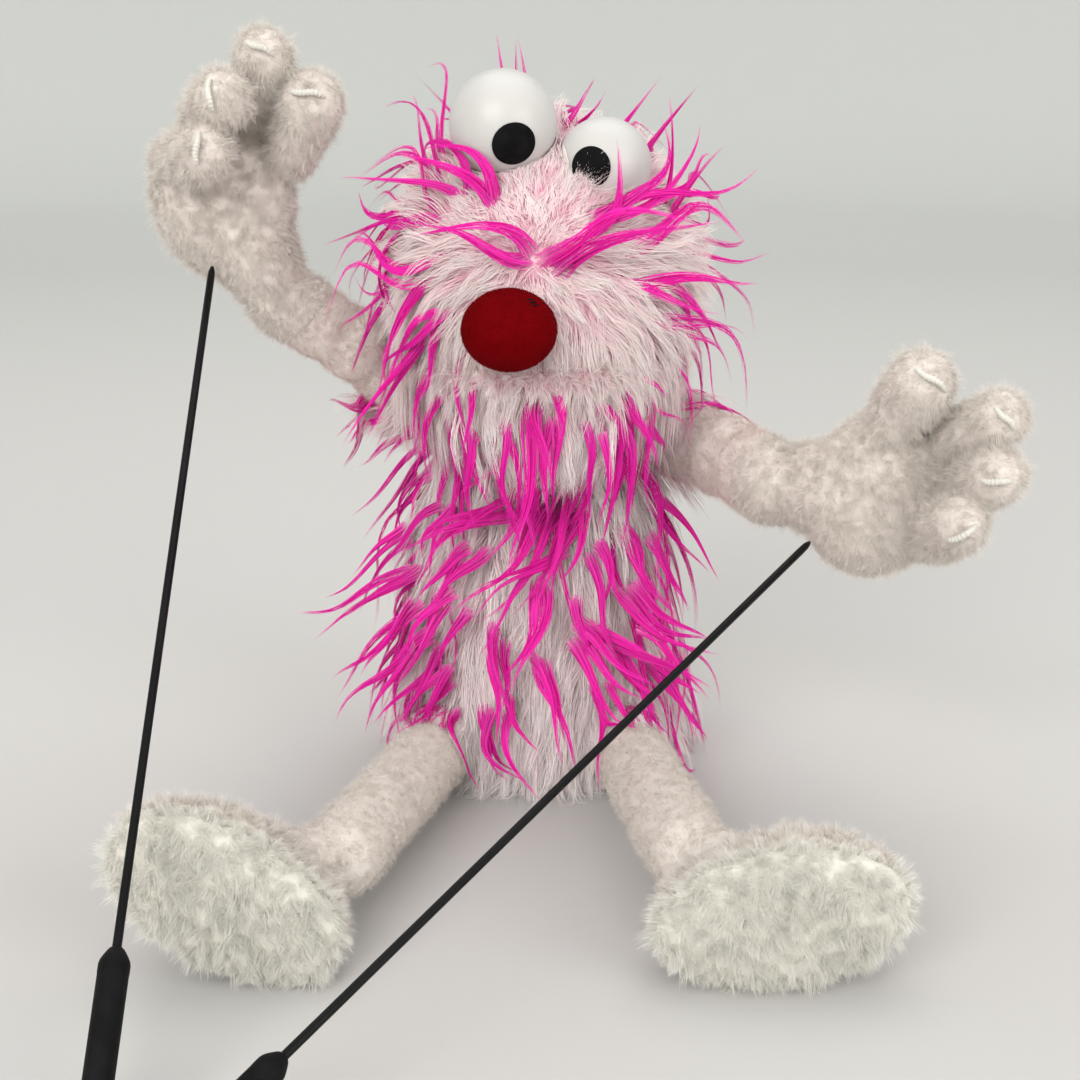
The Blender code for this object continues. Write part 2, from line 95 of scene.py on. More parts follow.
def slender(node):
    """The middle of a slender node, the way it runs, and its points from its middle."""
    co = coordinates(nodes[node].data)
    middle = co.mean(0)
    return middle, np.linalg.svd(co - middle, full_matrices=False)[2][0], co - middle


def long_axis(node):
    """The two ends of a slender node's centre line."""
    middle, axis, points = slender(node)
    along = points @ axis
    return middle + axis * along.min(), middle + axis * along.max()


def tangent(v, normals):
    return unit(v - (v * normals).sum(-1, keepdims=True) * normals)


# ---------------------------------------------------------------- materials
def shader(name, roughness, **constants):
    """A node material with its Principled shader, and the node tree to add to."""
    mat = bpy.data.materials.new(name)
    mat.use_nodes = True
    tree = mat.node_tree
    bsdf = tree.nodes["Principled BSDF"]
    bsdf.inputs["Roughness"].default_value = roughness
    for socket, value in constants.items():
        bsdf.inputs[socket.replace("_", " ")].default_value = value
    return mat, tree, bsdf


def add_node(tree, kind, inputs, **settings):
    """A shader node; each input is linked where it is given a socket, or else set."""
    node = tree.nodes.new("ShaderNode" + kind)
    for name, value in settings.items():
        setattr(node, name, value)
    for name, value in inputs.items():
        if isinstance(value, bpy.types.NodeSocket):
            tree.links.new(value, node.inputs[name])
        else:
            node.inputs[name].default_value = value
    return node


def ramp(tree, fac, stops):
    node = add_node(tree, "ValToRGB", {"Fac": fac})
    elements = node.color_ramp.elements
    while len(elements) < len(stops):
        elements.new(0.5)
    for element, (position, colour) in zip(elements, stops):
        element.position = position
        element.color = (*colour, 1.0)
    return node.outputs["Color"]


def object_coordinates(tree):
    return tree.nodes.new("ShaderNodeTexCoord").outputs["Object"]


def noise(tree, scale, detail):
    inputs = {"Scale": scale, "Detail": detail, "Vector": object_coordinates(tree)}
    return add_node(tree, "TexNoise", inputs).outputs["Fac"]


def spread(tree, fac, low, high, start=0.0, end=1.0):
    """Carries fac from start..end over to low..high."""
    inputs = {"Value": fac, "From Min": start, "From Max": end, "To Min": low, "To Max": high}
    return add_node(tree, "MapRange", inputs).outputs["Result"]


def bump(tree, bsdf, height, distance):
    node = add_node(tree, "Bump", {"Distance": distance, "Strength": 1.0, "Height": height})
    tree.links.new(node.outputs["Normal"], bsdf.inputs["Normal"])


def hair_material(name, stops, value_spread, roughness, others=None, **constants):
    """Colour from root to tip along V, lighter or darker by hair across U.

    others is a second run of colours that about a third of the locks take.
    """
    mat, tree, bsdf = shader(name, roughness[0], **constants)
    uv = tree.nodes.new("ShaderNodeUVMap")
    uv.uv_map = HAIR_UV
    parts = add_node(tree, "SeparateXYZ", {"Vector": uv.outputs["UV"]})
    by_hair, by_length = parts.outputs["X"], parts.outputs["Y"]
    colour = ramp(tree, by_length, stops)
    if others:
        share = ramp(tree, by_hair, ((0.45, (0, 0, 0)), (0.85, (1, 1, 1))))
        mix = add_node(tree, "Mix", {}, data_type="RGBA")
        for socket, source in zip((0, 6, 7), (share, colour, ramp(tree, by_length, others))):
            tree.links.new(source, mix.inputs[socket])
        colour = mix.outputs[2]
    value = spread(tree, by_hair, 1 - value_spread, 1 + value_spread)
    tint = add_node(tree, "HueSaturation", {"Value": value, "Color": colour})
    tree.links.new(tint.outputs["Color"], bsdf.inputs["Base Color"])
    tree.links.new(spread(tree, by_hair, *roughness), bsdf.inputs["Roughness"])
    return mat


def cloth_material(name, colours, grain, depth, roughness, **constants):
    """Mottled cloth: two colours by a soft noise, and a fine noise for nap and bump."""
    mat, tree, bsdf = shader(name, roughness[0], **constants)
    mottle = ramp(tree, noise(tree, grain * 0.06, 3.0), ((0.32, colours[0]), (0.68, colours[1])))
    tree.links.new(mottle, bsdf.inputs["Base Color"])
    nap = noise(tree, grain, 4.0)
    tree.links.new(spread(tree, nap, *roughness, 0.3, 0.7), bsdf.inputs["Roughness"])
    bump(tree, bsdf, nap, depth)
    return mat


# The white fur's roots are pink: partly the fur's own pink dye, partly painted pink shade that
# stands in for light bounced off the magenta locks deep among the hairs.
WHITE_HAIR = hair_material(
    "white_fur_hair",
    (
        (0.0, (0.84, 0.42, 0.54)),
        (0.25, (0.88, 0.64, 0.68)),
        (0.6, (0.91, 0.81, 0.80)),
        (1.0, (0.93, 0.885, 0.86)),
    ),
    0.03,
    (0.45, 0.62),
    others=(
        (0.0, (0.82, 0.30, 0.47)),
        (0.25, (0.86, 0.50, 0.60)),
        (0.6, (0.89, 0.68, 0.71)),
        (1.0, (0.91, 0.79, 0.78)),
    ),
    Sheen_Weight=0.15,
)
# A lighter copy of the white fur's colours for the body. This is painted light, standing in for the
# light the body's fur loses in the shade under the head. Its roots carry the same painted pink
# shade as the white fur's roots.
BODY_HAIR_PAINTED_LIGHTER = hair_material(
    "body_fur_hair_painted_lighter",
    (
        (0.0, (0.89, 0.52, 0.62)),
        (0.25, (0.925, 0.75, 0.775)),
        (0.6, (0.955, 0.895, 0.885)),
        (1.0, (0.97, 0.94, 0.925)),
    ),
    0.02,
    (0.45, 0.62),
    others=(
        (0.0, (0.86, 0.40, 0.55)),
        (0.25, (0.90, 0.62, 0.70)),
        (0.6, (0.935, 0.79, 0.815)),
        (1.0, (0.95, 0.87, 0.865)),
    ),
    Sheen_Weight=0.15,
)
MAGENTA_HAIR = hair_material(
    "magenta_fur_hair",
    (
        (0.0, (0.84, 0.22, 0.52)),
        (0.14, (0.84, 0.04, 0.45)),
        (0.45, (0.86, 0.009, 0.41)),
        (1.0, (0.82, 0.010, 0.42)),
    ),
    0.12,
    (0.42, 0.58),
    Specular_IOR_Level=0.3,
)
PILE_SHINE = dict(Sheen_Weight=0.2, Specular_IOR_Level=0.2)
FLEECE_HAIR = hair_material(
    "fleece_pile",
    ((0.0, (0.72, 0.66, 0.61)), (0.5, (0.76, 0.71, 0.66)), (1.0, (0.80, 0.755, 0.71))),
    0.02, (0.7, 0.9), **PILE_SHINE
)
SLEEVE_HAIR = hair_material(
    "sleeve_pile",
    ((0.0, (0.76, 0.635, 0.60)), (0.5, (0.80, 0.685, 0.65)), (1.0, (0.84, 0.74, 0.705))),
    0.02, (0.7, 0.9), **PILE_SHINE
)
FOOT_HAIR = hair_material(
    "foot_pile",
    ((0.0, (0.76, 0.74, 0.675)), (0.5, (0.81, 0.795, 0.74)), (1.0, (0.86, 0.85, 0.80))),
    0.03, (0.6, 0.85), **PILE_SHINE
)
# The cloth under the fur is pink like the hair roots: partly the fur's own dye, partly painted
# light that keeps the deep parts of the fur from going dark.
FUR_BACKING_PAINTED_LIGHTER = cloth_material(
    "fur_backing_painted_lighter", ((0.76, 0.44, 0.54), (0.84, 0.66, 0.69)), 900.0, 0.0005, (0.8, 0.95)
)
FLEECE_SKIN = cloth_material(
    "fleece_skin", ((0.76, 0.69, 0.645), (0.80, 0.735, 0.69)), 1300.0, 0.0003, (0.85, 1.0),
    Sheen_Weight=0.2
)
FOOT_SKIN = cloth_material(
    "foot_skin", ((0.80, 0.775, 0.71), (0.84, 0.815, 0.75)), 900.0, 0.0004, (0.85, 1.0),
    Sheen_Weight=0.2
)
SEAM_THREAD = cloth_material(
    "seam_ridge", ((0.70, 0.68, 0.62), (0.76, 0.74, 0.69)), 2600.0, 0.0003, (0.6, 0.8)
)
NOSE_VELOUR = cloth_material(
    "nose_velour", ((0.135, 0.0008, 0.002), (0.160, 0.0012, 0.003)), 3200.0, 0.0002, (0.8, 0.95),
    Specular_IOR_Level=0.02
)
FOAM = cloth_material(
    "open_cell_foam", ((0.84, 0.76, 0.50), (0.90, 0.84, 0.62)), 1800.0, 0.0008, (0.9, 1.0)
)
MOUTH_FELT = cloth_material(
    "mouth_felt", ((0.36, 0.012, 0.03), (0.46, 0.022, 0.045)), 2600.0, 0.0003, (0.85, 1.0)
)
PUPIL_FELT = cloth_material(
    "pupil_felt", ((0.004, 0.004, 0.0044), (0.008, 0.008, 0.009)), 3500.0, 0.0002, (0.7, 0.9),
    Specular_IOR_Level=0.08,
)
BLACK_ROD = cloth_material(
    "black_rod", ((0.004, 0.004, 0.0045), (0.007, 0.007, 0.0075)), 900.0, 0.00005, (0.28, 0.42),
    Specular_IOR_Level=0.15,
)
BLACK_GRIP = cloth_material(
    "black_grip", ((0.004, 0.004, 0.0044), (0.008, 0.008, 0.0085)), 2400.0, 0.00012, (0.5, 0.7),
    Specular_IOR_Level=0.1,
)
MOUTH_BOARD = cloth_material(
    "mouth_board", ((0.03, 0.03, 0.032), (0.06, 0.06, 0.062)), 1500.0, 0.0001, (0.5, 0.7)
)
EYE_PLASTIC = cloth_material(
    "eye_plastic", ((0.585, 0.578, 0.560), (0.605, 0.597, 0.580)), 1200.0, 0.00003, (0.34, 0.44),
    Coat_Weight=0.1, Coat_Roughness=0.3
)


def webbing_material():
    """Woven tape: two crossed waves."""
    mat, tree, bsdf = shader("webbing", 0.8)
    inputs = {"Scale": 260.0, "Vector": object_coordinates(tree)}
    across, along = (
        add_node(tree, "TexWave", inputs, bands_direction=way).outputs["Fac"] for way in "XY"
    )
    mix = add_node(tree, "Math", {0: across, 1: along}, operation="MULTIPLY")
    weave = mix.outputs["Value"]
    colour = ramp(tree, weave, ((0.1, (0.012, 0.012, 0.013)), (0.9, (0.05, 0.05, 0.052))))
    tree.links.new(colour, bsdf.inputs["Base Color"])
    bump(tree, bsdf, weave, 0.0004)
    return mat


WEBBING = webbing_material()


# ---------------------------------------------------------------- mesh helpers
def add_object(name, mesh, material):
    obj = bpy.data.objects.new(name, mesh)
    bpy.context.scene.collection.objects.link(obj)
    mesh.materials.clear()
    mesh.materials.append(material)
    mesh.shade_smooth()
    return obj


def from_bmesh(name, bm, material):
    mesh = bpy.data.meshes.new(name)
    bm.to_mesh(mesh)
    bm.free()
    return add_object(name, mesh, material)


def apply_modifiers(obj):
    graph = bpy.context.evaluated_depsgraph_get()
    mesh = bpy.data.meshes.new_from_object(obj.evaluated_get(graph))
    obj.modifiers.clear()
    old, obj.data = obj.data, mesh
    bpy.data.meshes.remove(old)
    return obj


def settle(obj, body, slot_name, *replaced):
    """Attaches a piece to the body it rides on and hides the CAD parts it stands for. slot_name is
    not used.
    """
    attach(obj, body)
    if replaced:
        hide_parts(*replaced)
    return obj


def value_noise(points, scale, seed):
    """Smooth noise from -1 to 1 at each point, from a few sines in odd directions."""
    local = np.random.default_rng(seed)
    total = np.zeros(len(points))
    for octave in range(3):
        for _ in range(3):
            wave = unit(local.normal(size=3)) * 2 * math.pi / (scale / (1.7**octave))
            total += np.sin(points @ wave + local.uniform(0, 6.28)) / (octave + 1)
    return total / 5.5


def noise_vectors(points, scale, seed):
    return np.stack([value_noise(points, scale, seed + i) for i in range(3)], 1)


def displace(obj, amount, scale, seed, where=None):
    """Moves each point along its normal by smooth noise."""
    mesh = obj.data
    co = coordinates(mesh)
    normals = np.empty(len(co) * 3, np.float32)
    mesh.vertices.foreach_get("normal", normals)
    shift = value_noise(co, scale, seed) * amount
    if where is not None:
        shift *= where(co)
    co += normals.reshape(-1, 3) * shift[:, None]
    mesh.vertices.foreach_set("co", co.astype(np.float32).ravel())
    mesh.update()


def soft_copy(node, body, material, slot_name, wobble=0.25, levels=1, seed=1):
    """A soft CAD solid as cloth: its mesh copied, divided and made a little uneven."""
    obj = add_object(f"{node}_soft", nodes[node].data.copy(), material)
    divide = obj.modifiers.new("divide", "SUBSURF")
    divide.subdivision_type = "SIMPLE"
    divide.levels = levels
    apply_modifiers(obj)
    displace(obj, -wobble * MM, 14 * MM, seed)
    return settle(obj, body, slot_name, node)


def fuse(name, meshes, voxel, relax, material, swell):
    """One smooth skin round several closed meshes, pushed out by swell."""
    bm = bmesh.new()
    for mesh in meshes:
        bm.from_mesh(mesh)
    obj = from_bmesh(name, bm, material)
    remesh = obj.modifiers.new("remesh", "REMESH")
    remesh.mode = "VOXEL"
    remesh.voxel_size = voxel
    smooth = obj.modifiers.new("smooth", "SMOOTH")
    smooth.factor = 0.5
    smooth.iterations = relax
    push = obj.modifiers.new("swell", "DISPLACE")
    push.strength = swell
    push.mid_level = 0.0
    apply_modifiers(obj)
    obj.data.shade_smooth()
    return obj


def ball(centre, radius):
    """A closed ball mesh, only ever used inside fuse()."""
    bm = bmesh.new()
    bmesh.ops.create_uvsphere(bm, u_segments=32, v_segments=16, radius=1.0)
    bm.transform(Matrix.Translation(Vector(centre)) @ Matrix.Diagonal((*(radius,) * 3, 1.0)))
    mesh = bpy.data.meshes.new("ball")
    bm.to_mesh(mesh)
    bm.free()
    return mesh


def loft(bm, rings):
    """Faces between rings of vertices, one after another; a tip is a ring of one."""
    steps = max(map(len, rings))
    for low, high in zip(rings, rings[1:]):
        for i in range(steps):
            j = (i + 1) % steps
            corners = [low[i % len(low)], low[j % len(low)]]
            corners += [high[j % len(high)], high[i % len(high)]]
            face = list(dict.fromkeys(corners))
            if len(face) > 2:
                bm.faces.new(face)


def tube(path, radii, sides):
    """A bmesh tube along a path of points, one radius each, closed at both ends."""
    bm = bmesh.new()
    path = np.array(path, float)
    along = unit(np.gradient(path, axis=0))
    across = np.cross(along[0], (0.31, 0.83, 0.46))
    rings = []
    for point, direction, radius in zip(path, along, radii):
        across = unit(across - direction * (across @ direction))
        up = np.cross(direction, across)
        ring = []
        for i in range(sides):
            a = 2 * math.pi * i / sides
            ring.append(bm.verts.new(point + (across * math.cos(a) + up * math.sin(a)) * radius))
        rings.append(ring)
    loft(bm, rings)
    bm.faces.new(reversed(rings[0]))
    bm.faces.new(rings[-1])
    bmesh.ops.recalc_face_normals(bm, faces=bm.faces)
    return bm


def join_bmeshes(parts):
    whole = bmesh.new()
    for part in parts:
        mesh = bpy.data.meshes.new("part")
        part.to_mesh(mesh)
        part.free()
        whole.from_mesh(mesh)
        bpy.data.meshes.remove(mesh)
    return whole


# ---------------------------------------------------------------- hair
def scatter(meshes, count, keep, smooth_normals=False):
    """count random points spread evenly over the meshes where keep(points, normals)."""
    corners, facing, sizes = [], [], []
    for mesh in meshes:
        co = coordinates(mesh)
        mesh.calc_loop_triangles()
        tri = np.empty(len(mesh.loop_triangles) * 3, np.int32)
        mesh.loop_triangles.foreach_get("vertices", tri)
        tri = tri.reshape(-1, 3)
        p = co[tri]
        n = np.cross(p[:, 1] - p[:, 0], p[:, 2] - p[:, 0])
        area = np.linalg.norm(n, axis=1)
        n = unit(n)
        if smooth_normals:
            vn = np.empty(len(co) * 3, np.float32)
            mesh.vertices.foreach_get("normal", vn)
            n3 = vn.reshape(-1, 3).astype(float)[tri]
        else:
            n3 = np.repeat(n[:, None], 3, axis=1)
        good = (area > 1e-12) & keep(p.mean(1), n)
        corners.append(p[good])
        facing.append(n3[good])
        sizes.append(area[good])
    corners, facing, sizes = map(np.concatenate, (corners, facing, sizes))
    pick = rng.choice(len(sizes), count, p=sizes / sizes.sum())
    a, b = rng.random(count), rng.random(count)
    flip = a + b > 1
    a, b = np.where(flip, 1 - a, a), np.where(flip, 1 - b, b)
    w = np.stack((1 - a - b, a, b), 1)[:, :, None]
    return (corners[pick] * w).sum(1), unit((facing[pick] * w).sum(1))


def jitter(value, share, count):
    return value * (1 + share * rng.uniform(-1, 1, count))


def grow(
    roots, normals, flow, length, hairs, radius, clump, segments, lift, droop, wave=0.0,
    frizz=0.0, solids=(), bed=0.5 * MM, bend=None, fall=1.3, shortest=0.6, stray=0.12
):
    """Hairs in locks: centre lines, normals and a shade from 0 to 1 for each hair.

    The hairs of a lock follow one path, end somewhere between shortest and 1 of the
    way along it, and come together towards its tip by clump. lift raises a lock off
    the cloth, droop lets it hang, and solids are what it may not pass through.
    """
    n = len(roots)
    bend = np.zeros((n, 3)) if bend is None else bend
    length, lift, droop, wave, radius = (
        np.broadcast_to(v, n) for v in (length, lift, droop, wave, radius)
    )
    phase = rng.uniform(0, 2 * math.pi, n)
    turns = rng.uniform(0.6, 1.3, n)
    across = np.cross(normals, flow)
    many = lambda v: np.repeat(v, hairs, axis=0)
    total = n * hairs
    roots, normals, flow, across = map(many, (roots, normals, flow, across))
    phase, turns, wave, lift, droop = map(many, (phase, turns, wave, lift, droop))
    radius, bend = many(radius), many(bend)
    share = rng.uniform(shortest, 1.0, total)
    long = many(length) * share
    lift = lift * rng.uniform(1 - stray, 1 + stray, total)
    s = np.linspace(0, 1, segments + 1)[None, :, None] * share[:, None, None]
    mid = (s[:, 1:] + s[:, :-1]) / 2
    turn = 2 * math.pi * turns[:, None, None] * mid + phase[:, None, None]
    swing = wave[:, None, None] * np.cos(turn)
    own = frizz * np.cos(2 * math.pi * 1.5 * mid + rng.uniform(0, 6.28, (total, 1, 1)))
    ways = unit(
        flow[:, None]
        + normals[:, None] * lift[:, None, None] * (1 - mid) ** fall
        + DOWN * droop[:, None, None] * mid
        + bend[:, None] * mid
        + across[:, None] * (swing + own)
    )
    guide = np.cumsum(ways * (long / segments)[:, None, None], axis=1)
    guide = np.concatenate((np.zeros((total, 1, 3)), guide), axis=1)
    angle = rng.uniform(0, 2 * math.pi, total)
    reach = radius * np.sqrt(rng.random(total))
    offset = flow * (np.cos(angle) * reach)[:, None]
    offset += across * (np.sin(angle) * reach)[:, None]
    gather = 1 - clump * s**0.7
    points = (roots - normals * bed)[:, None] + guide + offset[:, None] * gather
    for solid in solids:
        points[:, 1:] = solid(points[:, 1:])
    shade = many(rng.random(n)) * 0.75 + rng.random(total) * 0.25
    return points, normals, shade


TINTS, TINT_WIDTH = 24, 0.004  # how many tints of hair across U, and how wide each is


def hair_mesh(name, lines, width, material, roll=0.55):
    """Tapered ribbons along the centre lines that face outward, each rolled a little."""
    points, normals, shade = lines
    n, k, _ = points.shape
    along = unit(np.gradient(points, axis=1))
    facing = normals + rng.normal(size=(n, 3)) * roll
    side = unit(np.cross(along, facing[:, None]))
    s = np.linspace(0, 1, k)
    half = (width / 2) * (1 - s**2.4)
    half = np.broadcast_to(half, (n, k))[:, :-1, None] * rng.uniform(0.7, 1.3, (n, 1, 1))
    left = points[:, :-1] - side[:, :-1] * half
    right = points[:, :-1] + side[:, :-1] * half
    per = 2 * (k - 1) + 1
    verts = np.empty((n, per, 3))
    verts[:, 0:-1:2] = left
    verts[:, 1:-1:2] = right
    verts[:, -1] = points[:, -1]
    quads = np.array(
        [(2 * i, 2 * i + 1, 2 * i + 3, 2 * i + 2) for i in range(k - 2)], np.int64
    ).ravel()
    tip = np.array((2 * (k - 2), 2 * (k - 2) + 1, per - 1), np.int64)
    pattern = np.concatenate((quads, tip))
    loops = (pattern[None] + (np.arange(n) * per)[:, None]).ravel()
    starts_one = np.concatenate((np.arange(k - 2) * 4, [(k - 2) * 4]))
    starts = (starts_one[None] + (np.arange(n) * len(pattern))[:, None]).ravel()
    mesh = bpy.data.meshes.new(name)
    mesh.vertices.add(n * per)
    mesh.vertices.foreach_set("co", verts.astype(np.float32).ravel())
    mesh.loops.add(len(loops))
    mesh.loops.foreach_set("vertex_index", loops.astype(np.int32))
    mesh.polygons.add(len(starts))
    mesh.polygons.foreach_set("loop_start", starts.astype(np.int32))
    v = np.empty(per)
    v[0:-1:2] = v[1:-1:2] = s[:-1]
    v[-1] = 1.0
    u = np.full(per, 0.5)
    u[0:-1:2], u[1:-1:2] = 0.0, 1.0
    cell = np.floor(shade * TINTS) / (TINTS + 1) + 0.02
    uv = np.empty((n, per, 2))
    uv[:, :, 0] = cell[:, None] + u[None] * TINT_WIDTH
    uv[:, :, 1] = 0.02 + 0.96 * v[None]
    layer = mesh.uv_layers.new(name=HAIR_UV)
    layer.data.foreach_set("uv", uv.reshape(-1, 2)[loops].astype(np.float32).ravel())
    mesh.update(calc_edges=True)
    return add_object(name, mesh, material)


def outside_ellipsoid(centre, radii):
    centre, radii = np.array(centre), np.array(radii)

    def push(points):
        q = (points - centre) / radii
        r = np.linalg.norm(q, axis=-1, keepdims=True)
        return np.where(r < 1, centre + q / np.maximum(r, 1e-6) * radii, points)

    return push


def outside_capsule(a, b, radius):
    a, b = np.array(a), np.array(b)

    def push(points):
        ab = b - a
        t = np.clip(((points - a) @ ab) / (ab @ ab), 0, 1)
        axis = a + t[..., None] * ab
        away = points - axis
        r = np.linalg.norm(away, axis=-1, keepdims=True)
        return np.where(r < radius, axis + away / np.maximum(r, 1e-9) * radius, points)

    return push


def draped_over(a, b, radius, way):
    """Moves what is inside a capsule out of it in one direction, as cloth lies on a leg."""
    a, b, way = np.array(a), np.array(b), unit(np.array(way, float))

    def push(points):
        ab = b - a
        t = np.clip(((points - a) @ ab) / (ab @ ab), 0, 1)
        away = points - a - t[..., None] * ab
        apart = (away**2).sum(-1)
        across = away @ way
        step = -across + np.sqrt(np.maximum(across**2 - apart + radius**2, 0))
        return points + np.where(apart < radius**2, step, 0.0)[..., None] * way

    return push


def above_floor(points):
    points[..., 2] = np.maximum(points[..., 2], 0.5 * MM)
    return points


# ---------------------------------------------------------------- the frame's shapes
# middle and half widths of the head and the jaw, and the body's section height by height
HEAD = (mm(0, -30, 222), mm(55, 62, 62))
JAW = (mm(0, -50, 180.9), mm(43, 32, 23))
TORSO = mm(
    (3.3, 0, 50, 45),
    (40, 0, 51, 46),
    (80, 2, 49, 41),
    (118, 8, 43, 32),
    (145, 15, 37.5, 25),
    (160, 17, 34, 22),
    (172, 17, 32, 20),
)
NOSE = centre_and_radii("nose_cover")


def torso_at(z):
    """The body's middle in y, and its half widths in x and y, at each height."""
    return (np.interp(z, TORSO[:, 0], TORSO[:, i]) for i in (1, 2, 3))


def outside_torso(points):
    z = points[..., 2]
    cy, a, b = torso_at(z)
    x, y = points[..., 0], points[..., 1] - cy
    r = np.sqrt((x / (a + MM)) ** 2 + (y / (b + MM)) ** 2)
    inside = (r < 1) & (z < 0.172)
    grow_by = np.where(inside, 1 / np.maximum(r, 1e-3), 1.0)
    points[..., 0] = x * grow_by
    points[..., 1] = y * grow_by + cy
    return points


around_head = outside_ellipsoid(HEAD[0], HEAD[1] + 1.0 * MM)
around_jaw = outside_ellipsoid(JAW[0], JAW[1] + 1.0 * MM)
around_nose = outside_ellipsoid(NOSE[0], NOSE[1] + 0.5 * MM)
PIVOT = {j["name"]: np.array(j["pos_m"]) for j in frame["joints"]}
ARM_RADIUS = {"right": 14 * MM, "left": 16 * MM}
LEG_RADIUS = 14.5 * MM
SIDES = ("right", "left")
PANELS = [f"body_{n}" for n in ("front_panel", "side_panel_right", "side_panel_left", "back_panel")]


def lathe(profile, centre, axis, steps):
    """A closed bmesh turned about axis from points (radius, height), tip to tip."""
    bm = bmesh.new()
    axis = Vector(axis).normalized()
    turn = axis.to_track_quat("Z", "Y").to_matrix()
    rings = []
    for radius, height in profile:
        if radius < 1e-7:
            rings.append([bm.verts.new(Vector(centre) + axis * height)])
            continue
        ring = []
        for i in range(steps):
            a = 2 * math.pi * i / steps
            local = Vector((radius * math.cos(a), radius * math.sin(a), height))
            ring.append(bm.verts.new(Vector(centre) + turn @ local))
        rings.append(ring)
    loft(bm, rings)
    bmesh.ops.recalc_face_normals(bm, faces=bm.faces)
    return bm


# ---------------------------------------------------------------- eyes
EYE_BALLS = {"right": (mm(-14.4, -57, 285.5), 21 * MM), "left": (mm(25, -57, 270), 18.4 * MM)}
EYE_SEAM = 0.25 * MM  # depth of the line round the ball's widest part
PUPIL_RADIUS = {"right": 8.3 * MM, "left": 7.6 * MM}
PUPIL_RISE, PUPIL_BED = 0.8 * MM, 0.3 * MM


def on_arc(radius, angle):
    return radius * math.sin(angle), radius * math.cos(angle)


def make_eye(side):
    centre, radius = EYE_BALLS[side]
    look = Vector(unit(centre_and_radii(f"pupil_{side}")[0] - centre))
    profile = []
    for i in range(65):
        a = math.pi * i / 64
        seam = math.exp(-(((a - 1.75) / 0.02) ** 2)) * EYE_SEAM
        profile.append(on_arc(radius - seam, a))
    eye = from_bmesh(f"eye_{side}", lathe(profile, centre, look, 96), EYE_PLASTIC)
    settle(eye, "head", "eye_plastic", f"eyeball_{side}")
    edge = math.asin(PUPIL_RADIUS[side] / radius)
    steps = np.arange(9) / 8
    cap = [on_arc(radius + PUPIL_RISE * (1 - t**6 * 0.5), edge * t) for t in steps]
    cap += [on_arc(radius - PUPIL_BED, edge * t) for t in steps[::-1]]
    pupil = from_bmesh(f"pupil_felt_{side}", lathe(cap, centre, look, 72), PUPIL_FELT)
    settle(pupil, "head", "pupil_felt", f"pupil_{side}")


for side in SIDES:
    make_eye(side)
around_eyes = [outside_ellipsoid(c, np.full(3, r + PUPIL_RISE)) for c, r in EYE_BALLS.values()]


# ---------------------------------------------------------------- nose
NOSE_PLACE, NOSE_SIZE = mm(-11.6, -103, 213), mm(18, 15, 15.6)
NOSE_BACK = -92.9 * MM  # where the nose lies flat against the muzzle
PUCKER, DENT = 0.035, 0.03  # how deep the gathers and the stitched dent go


def make_nose():
    """A stuffed velour ball, gathered where its cover is sewn shut at the top right."""
    centre, radii = NOSE_PLACE, NOSE_SIZE
    bm = bmesh.new()
    bmesh.ops.create_uvsphere(bm, u_segments=96, v_segments=64, radius=1.0)
    gather = Vector((0.52, -0.42, 0.74)).normalized()
    across = gather.orthogonal().normalized()
    up = gather.cross(across)
    for v in bm.verts:
        d = v.co.normalized()
        angle = d.angle(gather)
        turn = math.atan2(d.dot(up), d.dot(across))
        pucker = math.exp(-((angle / 0.30) ** 2)) * (0.6 + 0.4 * math.cos(7 * turn))
        dent = math.exp(-((angle / 0.10) ** 2))
        shape = 1 - PUCKER * pucker - DENT * dent
        v.co = Vector(d[i] * radii[i] * shape + centre[i] for i in range(3))
        v.co.y = min(v.co.y, NOSE_BACK)
    nose = from_bmesh("nose_velour", bm, NOSE_VELOUR)
    displace(nose, 0.15 * MM, 12 * MM, 5)
    settle(nose, "head", "nose_velour", "nose_cover", "nose_stuffing")
    points, normals = scatter(
        [nose.data], 9000, lambda p, n: p[:, 1] < -94 * MM, smooth_normals=True
    )
    flow = tangent(rng.normal(size=points.shape) * 0.5 + DOWN, normals)
    lines = grow(points, normals, flow, 0.9 * MM, 1, 0.0, 0.0, 2, 1.5, 0.2, bed=0.1 * MM)
    nap = hair_mesh("nose_nap", lines, 0.16 * MM, NOSE_HAIR)
    settle(nap, "head", "nose_velour")
    stitches = []
    for k in range(3):
        start = (gather + up * (0.10 * (k - 1)) - across * 0.13).normalized()
        end = (gather + up * (0.10 * (k - 1) + 0.03) + across * 0.13).normalized()
        path = []
        for t in np.linspace(0, 1, 7):
            d = start.lerp(end, t).normalized()
            lift = 1.0 - PUCKER + 0.02 * math.sin(math.pi * t)
            path.append([d[i] * radii[i] * lift + centre[i] for i in range(3)])
        stitches.append(tube(path, [0.28 * MM] * 7, 8))
    thread = from_bmesh("nose_stitches", join_bmeshes(stitches), PUPIL_FELT)
    settle(thread, "head", "nose_velour")


NOSE_HAIR = hair_material(
    "nose_nap",
    ((0.0, (0.12, 0.001, 0.003)), (0.6, (0.17, 0.0014, 0.004)), (1.0, (0.22, 0.003, 0.007))),
    0.08, (0.7, 0.9), Specular_IOR_Level=0.02
)
make_nose()


